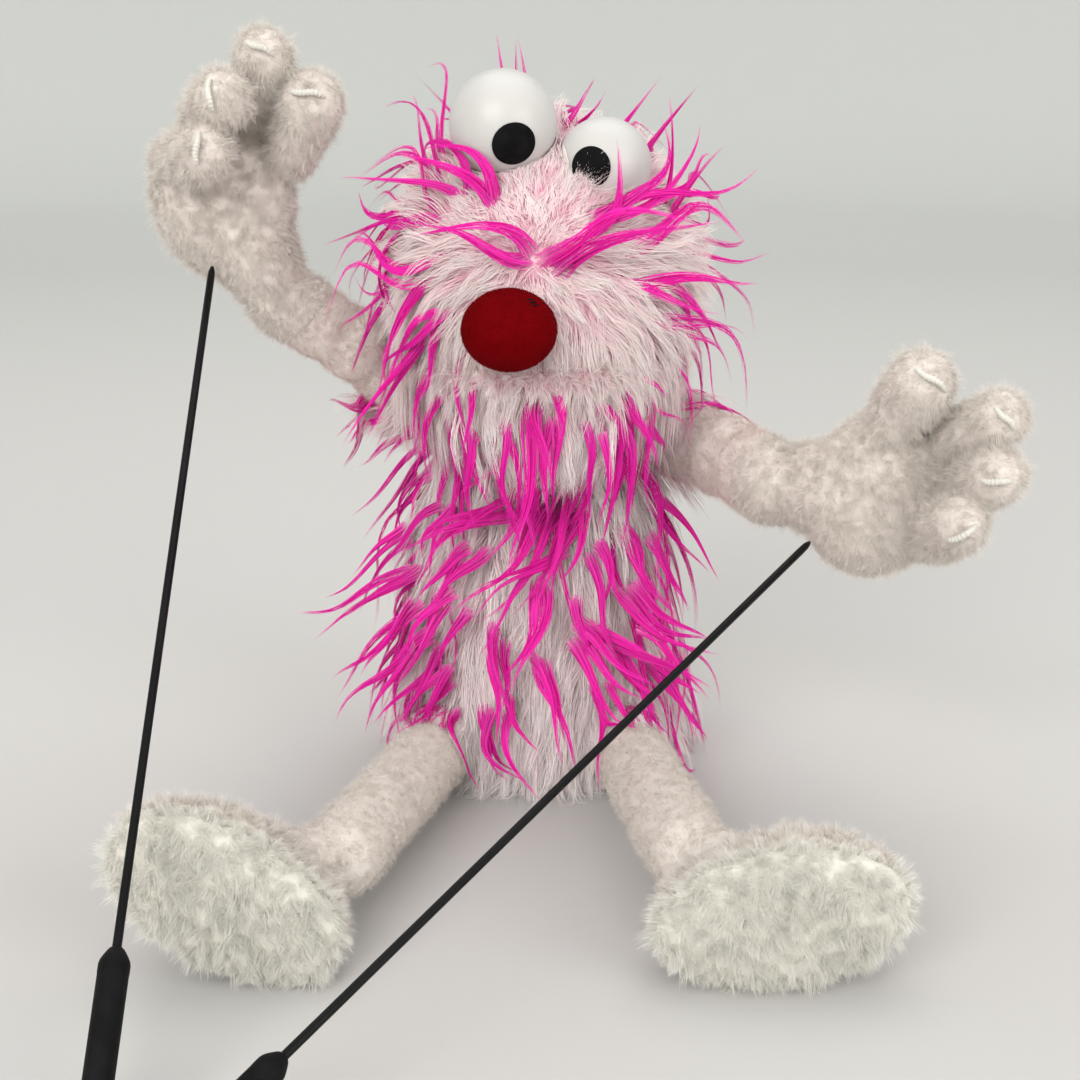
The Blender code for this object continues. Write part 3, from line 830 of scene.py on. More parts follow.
# ---------------------------------------------------------------- inner and hidden pieces
for quarter in ("front", "right", "left", "back"):
    soft_copy(f"head_foam_{quarter}", "head", FOAM, "foam", seed=11)
soft_copy("jaw_foam", "jaw", FOAM, "foam", seed=12)
soft_copy("head_fur_skin", "head", FUR_BACKING_PAINTED_LIGHTER, "long_fur", seed=13)
soft_copy("jaw_fur_skin", "jaw", FUR_BACKING_PAINTED_LIGHTER, "long_fur", seed=14)
soft_copy("neck_collar", "neck", FUR_BACKING_PAINTED_LIGHTER, "long_fur", seed=15)
for panel in PANELS:
    soft_copy(panel, "torso", FUR_BACKING_PAINTED_LIGHTER, "long_fur", seed=16)
seat = soft_copy("seat_panel", "torso", FLEECE_SKIN, "fleece", levels=2, wobble=0.1, seed=17)
for node, body in (
    ("upper_mouth_lining", "head"), ("lower_mouth_lining", "jaw"), ("mouth_hinge_strip", "head")
):
    soft_copy(node, body, MOUTH_FELT, "mouth_felt", levels=3, wobble=0.1)
for node, body in (("finger_pocket", "head"), ("thumb_pocket", "jaw")):
    soft_copy(node, body, WEBBING, "webbing", levels=2, wobble=0.15)
for node in ("upper_mouth_plate", "lower_mouth_plate"):
    for material_slot in nodes[node].material_slots:
        material_slot.material = MOUTH_BOARD


# ---------------------------------------------------------------- rods and grips
def make_rod(side):
    hole = PIVOT[f"rod_swing_{side}"]
    ends = long_axis(f"arm_rod_{side}")
    top, bottom = sorted(ends, key=lambda e: np.linalg.norm(e - hole))
    steps = np.array((0, 0.3, 1, 2.5, 60, 97.5, 99, 99.7, 100)) / 100
    radii = np.array((0.5, 0.9, 1.4, 1.5, 1.5, 1.5, 1.4, 0.9, 0.5)) * MM
    path = [top + (bottom - top) * s for s in steps]
    rod = from_bmesh(f"rod_{side}", tube(path, radii, 32), BLACK_ROD)
    settle(rod, f"rod_{side}", "rod_plastic", f"arm_rod_{side}")
    ends = long_axis(f"rod_grip_{side}")
    upper, lower = sorted(ends, key=lambda e: np.linalg.norm(e - hole))
    end = np.linalg.norm(upper - lower) / MM
    profile = [(0.0, 0.0), (2.6, 0.25), (4.0, 1.0), (4.75, 2.4), (4.95, 4.5)]
    profile += [(4.95, 12.0), (4.85, 30.0), (4.9, end - 9.5), (5.0, end - 8.0)]
    profile += [(5.0, end - 5.6), (4.7, end - 4.4), (4.1, end - 3.2)]
    profile += [(3.5, end - 2.2), (2.6, end - 0.8), (1.9, end - 0.15), (0.0, end)]
    profile = [(r * MM, h * MM) for r, h in profile]
    grip = from_bmesh(f"grip_{side}", lathe(profile, lower, upper - lower, 48), BLACK_GRIP)
    settle(grip, f"rod_{side}", "grip_rubber", f"rod_grip_{side}")


for side in SIDES:
    make_rod(side)


# ---------------------------------------------------------------- short pile
# Some locks stand clear of the nap: how many, how much longer and how much steeper.
STANDING_SHARE, STANDING_LENGTH, STANDING_LIFT = 0.22, 1.4, 2.6


def pile(
    name, obj, keep, spacing, hairs, length, radius, clump, lift, width, material,
    lean=(0, 0, -0.4), segments=2, solids=(), trim=None
):
    """Short pile grown from an object's own surface, cut shorter where trim says."""
    count = int(sum(p.area for p in obj.data.polygons) / spacing**2)
    points, normals = scatter([obj.data], count, keep, smooth_normals=True)
    share = np.ones(count) if trim is None else trim(points)
    points, normals, share = (v[share > 0.2] for v in (points, normals, share))
    count = len(points)
    swirl = noise_vectors(points, 22 * MM, 90)
    loose = rng.normal(size=points.shape) * 0.7
    flow = tangent(swirl * 0.5 + np.array(lean) + loose, normals)
    standing = rng.random(count) < STANDING_SHARE
    lines = grow(
        points, normals, flow,
        jitter(length, 0.25, count) * share * np.where(standing, STANDING_LENGTH, 1.0), hairs,
        radius, clump, segments,
        jitter(lift, 0.4, count) * np.where(standing, STANDING_LIFT, 1.0), 0.15, frizz=0.35,
        solids=solids, bed=0.3 * MM, fall=0.3, stray=0.35
    )
    return hair_mesh(name, lines, width, material, roll=0.8)


def split(obj, point, normal, names):
    """Cuts a closed mesh in two at a plane, and closes both."""
    halves = []
    for name, outer in zip(names, (True, False)):
        bm = bmesh.new()
        bm.from_mesh(obj.data)
        geometry = bm.verts[:] + bm.edges[:] + bm.faces[:]
        cut = bmesh.ops.bisect_plane(
            bm, geom=geometry, plane_co=point, plane_no=normal, clear_outer=outer,
            clear_inner=not outer
        )
        edges = [e for e in cut["geom_cut"] if isinstance(e, bmesh.types.BMEdge)]
        bmesh.ops.holes_fill(bm, edges=edges, sides=0)
        halves.append(from_bmesh(name, bm, obj.data.materials[0]))
    bpy.data.objects.remove(obj)
    return halves


everywhere = lambda p, n: np.ones(len(p), bool)
DIGITS = ("thumb", "index_finger", "middle_finger", "ring_finger")
SEAM_ARC = 0.55  # half the angle that a ridge spans over its fingertip
SEAM_HEIGHT = 2.4 * MM  # of the fleece that the ridge stands out of
SEAM_TURN = {  # degrees each ridge turns about the way its fingertip faces
    ("left", "middle_finger"): 55.0,
    ("left", "ring_finger"): 50.0,
    ("left", "index_finger"): 15.0,
    ("right", "thumb"): 30.0,
}


def fingertip_seam(side, digit):
    """The path of the raised sewn ridge across the end of a digit."""
    palm = centre_and_radii(f"palm_{side}")[0]
    middle, axis, points = slender(f"{digit}_{side}")
    axis = axis * np.sign((middle - palm) @ axis)
    along = points @ axis
    radius = np.linalg.norm(points - along[:, None] * axis, axis=1).max()
    tip = middle + axis * (along.max() - radius)
    aside = unit(np.cross(axis, np.array((0.0, -1.0, 0.25))))
    if aside[0] < 0:
        aside = -aside
    front = unit(np.cross(aside, axis))
    if front[1] > 0:
        front = -front
    heading = unit(axis * 0.75 + front * 0.65)
    turn = math.radians(SEAM_TURN.get((side, digit), 0.0))
    aside = aside - heading * (aside @ heading)
    aside = aside * math.cos(turn) + np.cross(heading, aside) * math.sin(turn)
    path = []
    for t in np.linspace(-1, 1, 49):
        d = unit(heading * math.cos(t * SEAM_ARC) + aside * math.sin(t * SEAM_ARC))
        rise = SEAM_HEIGHT * (1 - t * t) ** 0.5
        path.append(tip + d * (radius + 0.6 * MM + rise) + axis * 0.4 * MM * math.sin(5 * t))
    return np.array(path)


def ridge(path):
    """A puckered tube along a seam, thin at both ends."""
    t = np.linspace(-1, 1, len(path))
    radii = (0.3 + 0.95 * np.sqrt(1 - t * t)) * (1 + 0.13 * np.sin(34 * t)) * MM
    return tube(path, radii, 16)


SHOULDER_MESHES = {}
CLOTH_VOXEL = 2.2 * MM
SEAM_CLEAR, SEAM_FADE = 2.0 * MM, 6 * MM  # no pile this near a ridge, whole pile from here on


def make_arm(side):
    radius = ARM_RADIUS[side]
    shoulder, elbow, wrist = (
        PIVOT[f"{name}_{side}"] for name in ("shoulder_raise", "elbow_swing", "wrist_tilt")
    )
    cad = [f"upper_arm_{side}", f"forearm_{side}", f"palm_{side}"]
    cad += [f"{digit}_{side}" for digit in DIGITS]
    palm = centre_and_radii(f"palm_{side}")[0]
    meshes = [nodes[n].data for n in cad]
    meshes.append(ball(elbow, radius * 1.04))
    inward = shoulder * np.array((0.72, 1.0, 0.985))
    meshes.append(ball(inward, radius * 0.9))
    for share in (0.0, 0.15, 0.3, 0.45):
        heel = wrist * (1 - share) + palm * share
        meshes.append(ball(heel, radius * (1.05 + share * 0.5)))
    arm = fuse(f"arm_{side}", meshes, CLOTH_VOXEL, 7, FLEECE_SKIN, swell=1.3 * MM)
    reach = unit(wrist - elbow)
    bend = lambda co: np.exp(-((np.linalg.norm(co - elbow, axis=1) / (16 * MM)) ** 2))
    displace(arm, 0.5 * MM, 22 * MM, 31)
    displace(arm, 0.9 * MM, 13 * MM, 32, bend)
    middle = (elbow + wrist) / 2
    sleeve, hand = split(arm, middle, reach, (f"sleeve_{side}", f"hand_{side}"))
    seams = [fingertip_seam(side, d) for d in DIGITS]
    along_seams = np.concatenate(seams)

    def beside_seams(points):
        gap = np.linalg.norm(points[:, None] - along_seams[None, ::4], axis=2).min(1)
        return np.where(gap < SEAM_CLEAR, 0.0, np.clip(gap / SEAM_FADE, 0.5, 1.0))

    hair = dict(spacing=1.5 * MM, hairs=10, radius=1.6 * MM, clump=0.12, width=0.10 * MM)
    not_cut = lambda p, n: ~((np.abs((p - middle) @ reach) < 0.3 * MM) & (np.abs(n @ reach) > 0.9))
    sleeve_pile = pile(
        f"sleeve_pile_{side}", sleeve, not_cut, length=3.0 * MM,
        lift=0.9, material=SLEEVE_HAIR, lean=unit(wrist - shoulder) * 0.7, **hair
    )
    hair.update(hairs=12)
    hand_pile = pile(
        f"hand_pile_{side}", hand, not_cut, length=4.6 * MM,
        lift=1.0, material=FLEECE_HAIR, trim=beside_seams, **hair
    )
    SHOULDER_MESHES[side] = (sleeve.data, shoulder, unit(elbow - shoulder))
    seam = from_bmesh(
        f"finger_seams_{side}", join_bmeshes([ridge(p) for p in seams]), SEAM_THREAD
    )
    settle(seam, f"hand_{side}", "fleece")
    for piece in (sleeve, sleeve_pile):
        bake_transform(piece)
    for piece in (hand, hand_pile):
        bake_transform(piece)
    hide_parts(f"upper_arm_{side}", f"forearm_{side}")
    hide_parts(f"palm_{side}", *[f"{d}_{side}" for d in DIGITS])


for side in SIDES:
    make_arm(side)


# ---------------------------------------------------------------- legs and feet
def make_leg(side):
    hip, ankle = PIVOT[f"hip_swing_{side}"], PIVOT[f"ankle_flex_{side}"]
    foot = centre_and_radii(f"foot_upper_{side}")[0]
    top = hip + unit(hip - ankle) * 4 * MM
    meshes = [nodes[f"leg_{side}"].data]
    for share in (0.0, 0.35, 0.7):
        meshes.append(ball(ankle * (1 - share) + foot * share, LEG_RADIUS))
    leg = fuse(f"leg_tube_{side}", meshes, CLOTH_VOXEL, 8, FLEECE_SKIN, swell=0.9 * MM)
    displace(leg, 0.7 * MM, 26 * MM, 41)
    ends = lambda co: np.exp(-((np.linalg.norm(co - ankle, axis=1) / (20 * MM)) ** 2))
    displace(leg, 1.4 * MM, 12 * MM, 42, ends)
    leg_pile = pile(
        f"leg_pile_{side}", leg, everywhere, 1.5 * MM, 10, 3.0 * MM, 1.6 * MM, 0.12, 0.9,
        0.10 * MM, FLEECE_HAIR, lean=unit(ankle - top) * 0.7, solids=(above_floor,)
    )
    for piece in (leg, leg_pile):
        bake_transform(piece)
    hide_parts(f"leg_{side}")


FOOT_TILT = {"right": 148.0, "left": 10.0}  # degrees from +x to the sole's long axis
FOOT_HALF = mm(44, 24.5)
FLOOR_GAP = 0.8 * MM


def foot_radius(co, side):
    """How far out each point lies on the sole's oval, from 0 to 1."""
    middle = centre_and_radii(f"foot_sole_{side}")[0]
    tilt = math.radians(FOOT_TILT[side])
    dx, dz = co[:, 0] - middle[0], co[:, 2] - middle[2]
    u = dx * math.cos(tilt) + dz * math.sin(tilt)
    v = -dx * math.sin(tilt) + dz * math.cos(tilt)
    return np.hypot(u / FOOT_HALF[0], v / FOOT_HALF[1])


def make_foot(side):
    upper = fuse(
        f"foot_top_{side}", [nodes[f"foot_upper_{side}"].data], CLOTH_VOXEL, 7, FOOT_SKIN,
        swell=1.2 * MM
    )
    displace(upper, 1.0 * MM, 22 * MM, 51)
    sole = fuse(
        f"foot_bottom_{side}", [nodes[f"foot_sole_{side}"].data], 2.0 * MM, 5, FOOT_SKIN,
        swell=0.9 * MM
    )
    co = coordinates(sole.data)
    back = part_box(f"foot_sole_{side}")[1][1]
    front = smoothstep(back - co[:, 1], 2 * MM, 5 * MM)
    co[:, 1] -= front * 4.0 * MM * np.clip(1 - foot_radius(co, side) ** 2, 0, 1)
    sole.data.vertices.foreach_set("co", co.astype(np.float32).ravel())
    sole.data.update()
    displace(sole, 0.9 * MM, 17 * MM, 52)
    for obj in (upper, sole):
        low = coordinates(obj.data)[:, 2].min()
        if low < FLOOR_GAP:
            obj.data.transform(Matrix.Translation((0, 0, FLOOR_GAP - low)))
    settle(upper, f"foot_{side}", "foot_fleece", f"foot_upper_{side}")
    settle(sole, f"foot_{side}", "foot_fleece", f"foot_sole_{side}")
    for obj, name, long, material in (
        (upper, "top", 4.6 * MM, FLEECE_HAIR),
        (sole, "bottom", 6.2 * MM, FOOT_HAIR),
    ):
        fluff = pile(
            f"foot_{name}_pile_{side}", obj, everywhere, 1.9 * MM, 24, long, 2.2 * MM,
            0.3, 1.0, 0.115 * MM, material, segments=3, solids=(above_floor,)
        )
        settle(fluff, f"foot_{side}", "foot_fleece")


for side in SIDES:
    make_leg(side)
    make_foot(side)


seat_pile = pile(
    "seat_pile", seat, lambda p, n: n[:, 2] > -0.5, 1.7 * MM, 8, 3.0 * MM, 1.5 * MM, 0.2, 1.5,
    0.11 * MM, FLEECE_HAIR, solids=(above_floor,)
)
settle(seat_pile, "torso", "fleece")


# ---------------------------------------------------------------- upper lip
lip = soft_copy("upper_lip", "head", FLEECE_SKIN, "fleece", levels=2, wobble=0.1, seed=61)
lip_pile = pile(
    "upper_lip_pile", lip, everywhere, 1.5 * MM, 12, 8.5 * MM, 2.2 * MM, 0.5, 0.9,
    0.18 * MM, WHITE_HAIR, lean=(0, -0.2, -0.9), segments=4
)
settle(lip_pile, "head", "fleece")


# ---------------------------------------------------------------- long fur
BRIDGE = mm(-2, -91, 238)
arm_solids = [
    outside_capsule(
        PIVOT[f"shoulder_raise_{s}"], PIVOT[f"elbow_swing_{s}"], ARM_RADIUS[s] + 3.5 * MM
    )
    for s in SIDES
]
leg_solids = [
    draped_over(
        PIVOT[f"hip_swing_{s}"], PIVOT[f"ankle_flex_{s}"], LEG_RADIUS + 4.5 * MM, (0, -0.5, 0.85)
    )
    for s in SIDES
]


def ellipsoid_normal(shape):
    centre, radii = shape
    return lambda p: unit((p - centre) / radii**2)


def outer_head(p, n):
    facing = ((p - HEAD[0]) * n).sum(1) > 0
    return facing & (n[:, 2] > -0.93)


def outer_jaw(p, n):
    return (((p - JAW[0]) * n).sum(1) > 0) & (n[:, 2] < 0.8) & (n[:, 1] < 0.9)


def outer_body(p, n):
    cy, _, _ = torso_at(p[:, 2])
    out = p[:, 0] * n[:, 0] + (p[:, 1] - cy) * n[:, 1]
    return (out > 0.3 * np.hypot(p[:, 0], p[:, 1] - cy)) & (np.abs(n[:, 2]) < 0.85)


def outer_collar(p, n):
    return (np.abs(n[:, 2]) < 0.5) & (p[:, 0] * n[:, 0] + (p[:, 1] - NECK_Y) * n[:, 1] > 0)


def body_normal(p):
    cy, a, b = torso_at(p[:, 2])
    return unit(np.stack((p[:, 0] / a**2, (p[:, 1] - cy) / b**2, 0.12 / a), 1))


def collar_normal(p):
    return unit(np.stack((p[:, 0], p[:, 1] - NECK_Y, np.zeros(len(p))), 1))


def head_flow(p, n):
    away = p - BRIDGE
    far = np.linalg.norm(away, axis=1)
    w = smoothstep(far, 50 * MM, 120 * MM)[:, None]
    hang = tangent(np.broadcast_to(np.array((0, 0.35, -1.0)), p.shape), n)
    swirl = noise_vectors(p, 26 * MM, 70)
    muzzle = (1 - smoothstep(p[:, 2], 205 * MM, 232 * MM))[:, None]
    ways = tangent(away, n) * (1 - w) + hang * w + swirl * 0.6 + DOWN * muzzle * 0.6
    return tangent(ways, n)


def body_flow(p, n):
    swirl = value_noise(p, 60 * MM, 75) * 0.9 + value_noise(p, 22 * MM, 76) * 0.6 - 0.12
    ways = np.stack((swirl, np.zeros(len(p)), -np.ones(len(p))), 1)
    return tangent(ways, n)


def jaw_flow(p, n):
    sway = value_noise(p, 30 * MM, 77) * 0.5
    return tangent(np.stack((sway, np.full(len(p), -0.15), -np.ones(len(p))), 1), n)


def hang_flow(p, n):
    return tangent(np.broadcast_to(DOWN, p.shape), n)


def clear_of_face(p):
    """Away from the eyes and the nose, which stand on the fur cloth."""
    ok = np.ones(len(p), bool)
    for centre, radius in EYE_BALLS.values():
        ok &= np.linalg.norm(p - centre, axis=1) > radius * 0.93
    q = (p - NOSE_PLACE) / NOSE_SIZE
    return ok & (np.linalg.norm(q, axis=1) > 0.8)


def under_eyes(p):
    return (p[:, 2] > 0.243) & (p[:, 1] < -0.05) & (p[:, 0] > -0.034) & (p[:, 0] < 0.044)


def between(low, high):
    return lambda p: rng.uniform(low, high, len(p))


def head_long(low, high):
    def choose(p):
        near = np.linalg.norm(p - BRIDGE, axis=1)
        share = 0.45 + 0.55 * smoothstep(near, 6 * MM, 40 * MM)
        share *= 0.84 + 0.16 * smoothstep(p[:, 0], -45 * MM, 5 * MM)
        share *= 1 - 0.55 * under_eyes(p)
        return rng.uniform(low, high, len(p)) * share

    return choose


def head_lift(p):
    side = smoothstep(np.abs(p[:, 0]), 12 * MM, 50 * MM)
    return (0.42 + 0.6 * side) * rng.uniform(0.7, 1.4, len(p))


def head_droop(p):
    low = 1 - smoothstep(p[:, 2], 205 * MM, 262 * MM)
    return (0.15 + 0.9 * low) * rng.uniform(0.4, 1.5, len(p))


def body_lift(p):
    chest = smoothstep(p[:, 2], 90 * MM, 140 * MM) * (p[:, 1] < 10 * MM)
    hem = 1 - smoothstep(p[:, 2], 15 * MM, 85 * MM)
    back = smoothstep(p[:, 1], 0, 30 * MM)
    steep = (1.0 + 0.6 * chest + 0.45 * hem) * (1 - 0.6 * back)
    return steep * rng.uniform(0.6, 1.35, len(p))


def body_droop(p):
    return rng.uniform(0.4, 1.7, len(p))


def body_long(low, high):
    def choose(p):
        chest = smoothstep(p[:, 2], 90 * MM, 135 * MM) * (p[:, 1] < 10 * MM)
        hem = 1 - smoothstep(p[:, 2], 5 * MM, 60 * MM)
        back = smoothstep(p[:, 1], 0, 30 * MM)
        share = (1 + 0.25 * chest + 0.08 * hem) * (1 - 0.15 * back)
        return np.minimum(rng.uniform(low, high, len(p)) * share, p[:, 2] + 24 * MM)

    return choose


NECK_Y = 17 * MM
HEAD_SOLIDS = (around_head, *around_eyes, around_nose, outside_torso, *arm_solids)
BODY_SOLIDS = (outside_torso, *arm_solids, *leg_solids, above_floor)
REGIONS = {  # meshes, where hair grows, normals, flow, what it lies on, lift and droop
    "head": (
        [nodes["head_fur_skin"].data], outer_head, ellipsoid_normal(HEAD), head_flow,
        HEAD_SOLIDS, head_lift, head_droop,
    ),
    "torso": (
        [nodes[n].data for n in PANELS], outer_body, body_normal, body_flow,
        BODY_SOLIDS, body_lift, body_droop,
    ),
    "jaw": (
        [nodes["jaw_fur_skin"].data], outer_jaw, ellipsoid_normal(JAW), jaw_flow,
        (around_jaw, outside_torso), between(0.25, 0.75), between(0.8, 1.8),
    ),
    "neck": (
        [nodes["neck_collar"].data], outer_collar, collar_normal, hang_flow,
        (outside_torso, *arm_solids), between(0.15, 0.5), between(1.2, 2.0),
    ),
}


# The lower back of the head, whose fur hangs straight down over the collar
REGIONS["nape"] = (
    *REGIONS["head"][:3], hang_flow, HEAD_SOLIDS, between(0.5, 1.0), between(1.6, 2.4)
)


def shoulder_region(side):
    """The first part of an arm, where the body's fur covers it."""
    mesh, shoulder, along = SHOULDER_MESHES[side]
    out = np.array((math.copysign(1, along[0]), -0.1, -0.5))
    near = lambda p, n: np.abs((p - shoulder) @ along) < 17 * MM
    round_arm = lambda p: unit(p - shoulder - ((p - shoulder) @ along)[:, None] * along * 0.8)
    outward = lambda p, n: tangent(np.broadcast_to(out, p.shape), n)
    return (
        [mesh], near, round_arm, outward, (outside_torso, around_head),
        between(0.3, 0.8), between(0.6, 1.4),
    )


for side in SIDES:
    REGIONS[f"upper_arm_{side}"] = shoulder_region(side)


def fur(name, region, locks, hairs, look, long_of, where=None):
    """Locks of long fur over one region of the fur cloth."""
    meshes, keep, normal_of, flow_of, solids, lift_of, droop_of = REGIONS[region]
    points, _ = scatter(meshes, locks, keep)
    kept = clear_of_face(points)
    if where is not None:
        kept &= where(points)
    points = points[kept]
    normals = normal_of(points)
    lines = grow(
        points, normals, flow_of(points, normals), long_of(points), hairs,
        jitter(look["radius"], 0.35, len(points)), look["clump"], look["segments"],
        lift_of(points), droop_of(points), wave=jitter(look["wave"], 0.6, len(points)),
        frizz=look["frizz"], solids=solids, shortest=look["shortest"], stray=look["stray"]
    )
    obj = hair_mesh(name, lines, look["width"], look["material"])
    return settle(obj, BODY_OF.get(region, region), "long_fur")


BODY_OF = {"nape": "head"}  # the body of each region not named after its own
WHITE_LOOK = dict(
    material=WHITE_HAIR, radius=4.2 * MM, clump=0.66, segments=5, width=0.25 * MM,
    wave=0.42, frizz=0.14, shortest=0.55, stray=0.12,
)
# The white fur's look, with the body's painted lighter colours.
BODY_LOOK_PAINTED_LIGHTER = dict(WHITE_LOOK, material=BODY_HAIR_PAINTED_LIGHTER)
MAGENTA_LOOK = dict(
    material=MAGENTA_HAIR, radius=4.6 * MM, clump=0.97, segments=9, width=0.34 * MM,
    wave=0.70, frizz=0.03, shortest=0.45, stray=0.03,
)
WISP_LOOK = dict(MAGENTA_LOOK, radius=2.3 * MM, width=0.27 * MM, wave=0.85)
HEM_LOOK = dict(MAGENTA_LOOK, radius=3.6 * MM, wave=0.6)

in_front = lambda p: p[:, 1] < HEAD[0][1] - 20 * MM
in_middle = lambda p: (p[:, 1] >= HEAD[0][1] - 20 * MM) & (p[:, 1] < HEAD[0][1] + 12 * MM)
behind = lambda p: p[:, 1] >= HEAD[0][1] + 12 * MM


def at_nape(p):
    return (p[:, 2] < 0.212) & (p[:, 1] > -0.05)


def off_bridge(p):
    return ~under_eyes(p) & (np.linalg.norm(p - BRIDGE, axis=1) > 34 * MM)


def beside_chest(p):
    """Everywhere on the body but the middle of the chest, whose locks are placed."""
    return (np.abs(p[:, 0]) > 31 * MM) | (p[:, 1] > -12 * MM)


def at_hem(p):
    return (p[:, 2] < 0.065) & (p[:, 1] > -0.03)


def over_opening(p):
    """The lower edge of the back panel, whose fur hangs over the way in for the arm."""
    return (p[:, 2] > 71 * MM) & (p[:, 2] < 92 * MM) & (p[:, 1] > 18 * MM)


fur("head_fur_front", "head", 2900, 22, WHITE_LOOK, head_long(0.030, 0.044), in_front)
fur("head_fur_sides", "head", 2900, 19, WHITE_LOOK, head_long(0.030, 0.044), in_middle)
fur("head_fur_back", "head", 2900, 19, WHITE_LOOK, head_long(0.028, 0.040), behind)
fur("head_locks", "head", 90, 64, MAGENTA_LOOK, head_long(0.046, 0.072), off_bridge)
fur(
    "head_wisps", "head", 130, 26, WISP_LOOK, head_long(0.062, 0.094),
    lambda p: off_bridge(p) & (np.abs(p[:, 0]) > 34 * MM) & (p[:, 1] < 0),
)
fur(
    "body_fur_front", "torso", 2900, 20, BODY_LOOK_PAINTED_LIGHTER, body_long(0.036, 0.052),
    lambda p: p[:, 1] < -14 * MM,
)
fur(
    "body_fur_sides", "torso", 2700, 19, BODY_LOOK_PAINTED_LIGHTER, body_long(0.036, 0.052),
    lambda p: (p[:, 1] >= -14 * MM) & (p[:, 1] < 16 * MM),
)
fur(
    "body_fur_back", "torso", 2700, 19, BODY_LOOK_PAINTED_LIGHTER, body_long(0.034, 0.050),
    lambda p: p[:, 1] >= 16 * MM,
)
fur(
    "hip_fur", "torso", 2600, 20, BODY_LOOK_PAINTED_LIGHTER, body_long(0.044, 0.058),
    lambda p: (p[:, 2] > 30 * MM) & (p[:, 2] < 78 * MM) & (p[:, 1] < -18 * MM)
    & (np.abs(p[:, 0]) > 16 * MM),
)
fur("body_locks", "torso", 120, 70, MAGENTA_LOOK, body_long(0.052, 0.080), beside_chest)
fur(
    "body_wisps", "torso", 210, 26, WISP_LOOK, body_long(0.058, 0.082),
    lambda p: (np.abs(p[:, 0]) > 33 * MM) & (p[:, 1] < 25 * MM),
)
fur("hem_locks", "torso", 70, 56, HEM_LOOK, body_long(0.046, 0.074), at_hem)
fur("opening_fur", "torso", 5200, 20, BODY_LOOK_PAINTED_LIGHTER, between(0.058, 0.074), over_opening)
fur("opening_locks", "torso", 260, 60, MAGENTA_LOOK, between(0.060, 0.078), over_opening)
fur("jaw_fur", "jaw", 520, 19, BODY_LOOK_PAINTED_LIGHTER, between(0.020, 0.040))
fur("jaw_locks", "jaw", 16, 64, MAGENTA_LOOK, between(0.036, 0.062))
fur("collar_fur", "neck", 700, 19, BODY_LOOK_PAINTED_LIGHTER, between(0.030, 0.044))
fur("nape_fur", "nape", 3800, 19, WHITE_LOOK, between(0.048, 0.066), at_nape)
fur("nape_locks", "nape", 200, 60, MAGENTA_LOOK, between(0.044, 0.060), at_nape)
fur("collar_locks", "neck", 20, 56, MAGENTA_LOOK, between(0.040, 0.056))

for side in SIDES:
    fur(f"shoulder_fur_{side}", f"upper_arm_{side}", 210, 19, WHITE_LOOK, between(0.018, 0.032))
    fur(f"shoulder_locks_{side}", f"upper_arm_{side}", 11, 56, MAGENTA_LOOK, between(0.028, 0.044))

# The broad locks that fan out from the bridge of the nose and off the cheeks:
# place across and up in mm, the way each sets off and ends, length and breadth in mm.
FACE_LOCKS = (
    (-6, 237, -0.85, 0.52, -0.95, 0.10, 56, 5.0),
    (-48, 254, -0.90, -0.30, -0.80, -0.60, 50, 3.4),
    (-19, 256, -0.55, 0.83, -1.00, 0.10, 76, 4.6),
    (-28, 259, -0.60, 0.78, -1.00, -0.05, 54, 3.8),
    (-44, 260, -0.95, 0.30, -0.95, -0.25, 50, 3.0),
    (-50, 250, -0.80, -0.40, -0.70, -0.70, 54, 3.2),
    (-49, 241, -0.25, -0.95, 0.20, -0.95, 54, 4.4),
    (-31, 216, -0.98, -0.10, -0.50, -0.85, 60, 3.6),
    (-41, 230, 0.15, -1.00, -0.20, -1.00, 52, 4.0),
    (-39, 208, -0.40, -0.90, -0.75, -0.60, 60, 3.6),
    (9, 234, 0.80, 0.58, 1.00, -0.05, 76, 6.2),
    (17, 248, 0.83, 0.50, 0.25, 0.95, 62, 5.0),
    (20, 250, 1.00, -0.10, 0.65, 0.75, 70, 3.6),
    (49, 245, 0.25, 0.95, 0.60, 0.80, 48, 4.0),
    (44, 252, 0.60, 0.75, 0.80, 0.45, 46, 3.4),
    (33, 226, 1.00, -0.05, 0.95, -0.30, 60, 5.6),
    (48, 206, 0.70, -0.70, 0.10, -1.00, 54, 5.0),
    (50, 232, 0.80, -0.40, 0.20, -1.00, 54, 4.4),
    (46, 222, 0.90, -0.25, 0.90, -0.35, 52, 3.6),
    (30, 203, 0.60, -0.80, 0.25, -1.00, 44, 4.4),
    (2, 198, 0.50, -0.85, 0.10, -1.00, 38, 3.8),
    (-24, 200, -0.30, -0.95, -0.10, -1.00, 42, 4.4),
)
# The thin locks that stand up behind the eyes: place across and back in mm, slope,
# length and breadth in mm.
CROWN_LOCKS = (
    (-24, -34, -0.30, 38, 2.0),
    (-12, -30, 0.10, 39, 2.0),
    (-9, -26, 0.16, 36, 1.8),
    (-2, -32, -0.16, 37, 1.9),
    (9, -36, 0.55, 26, 2.2),
    (13, -34, 0.70, 24, 1.8),
    (27, -36, 0.08, 36, 1.8),
    (37, -38, -0.14, 44, 2.4),
    (46, -34, 0.45, 30, 2.0),
)
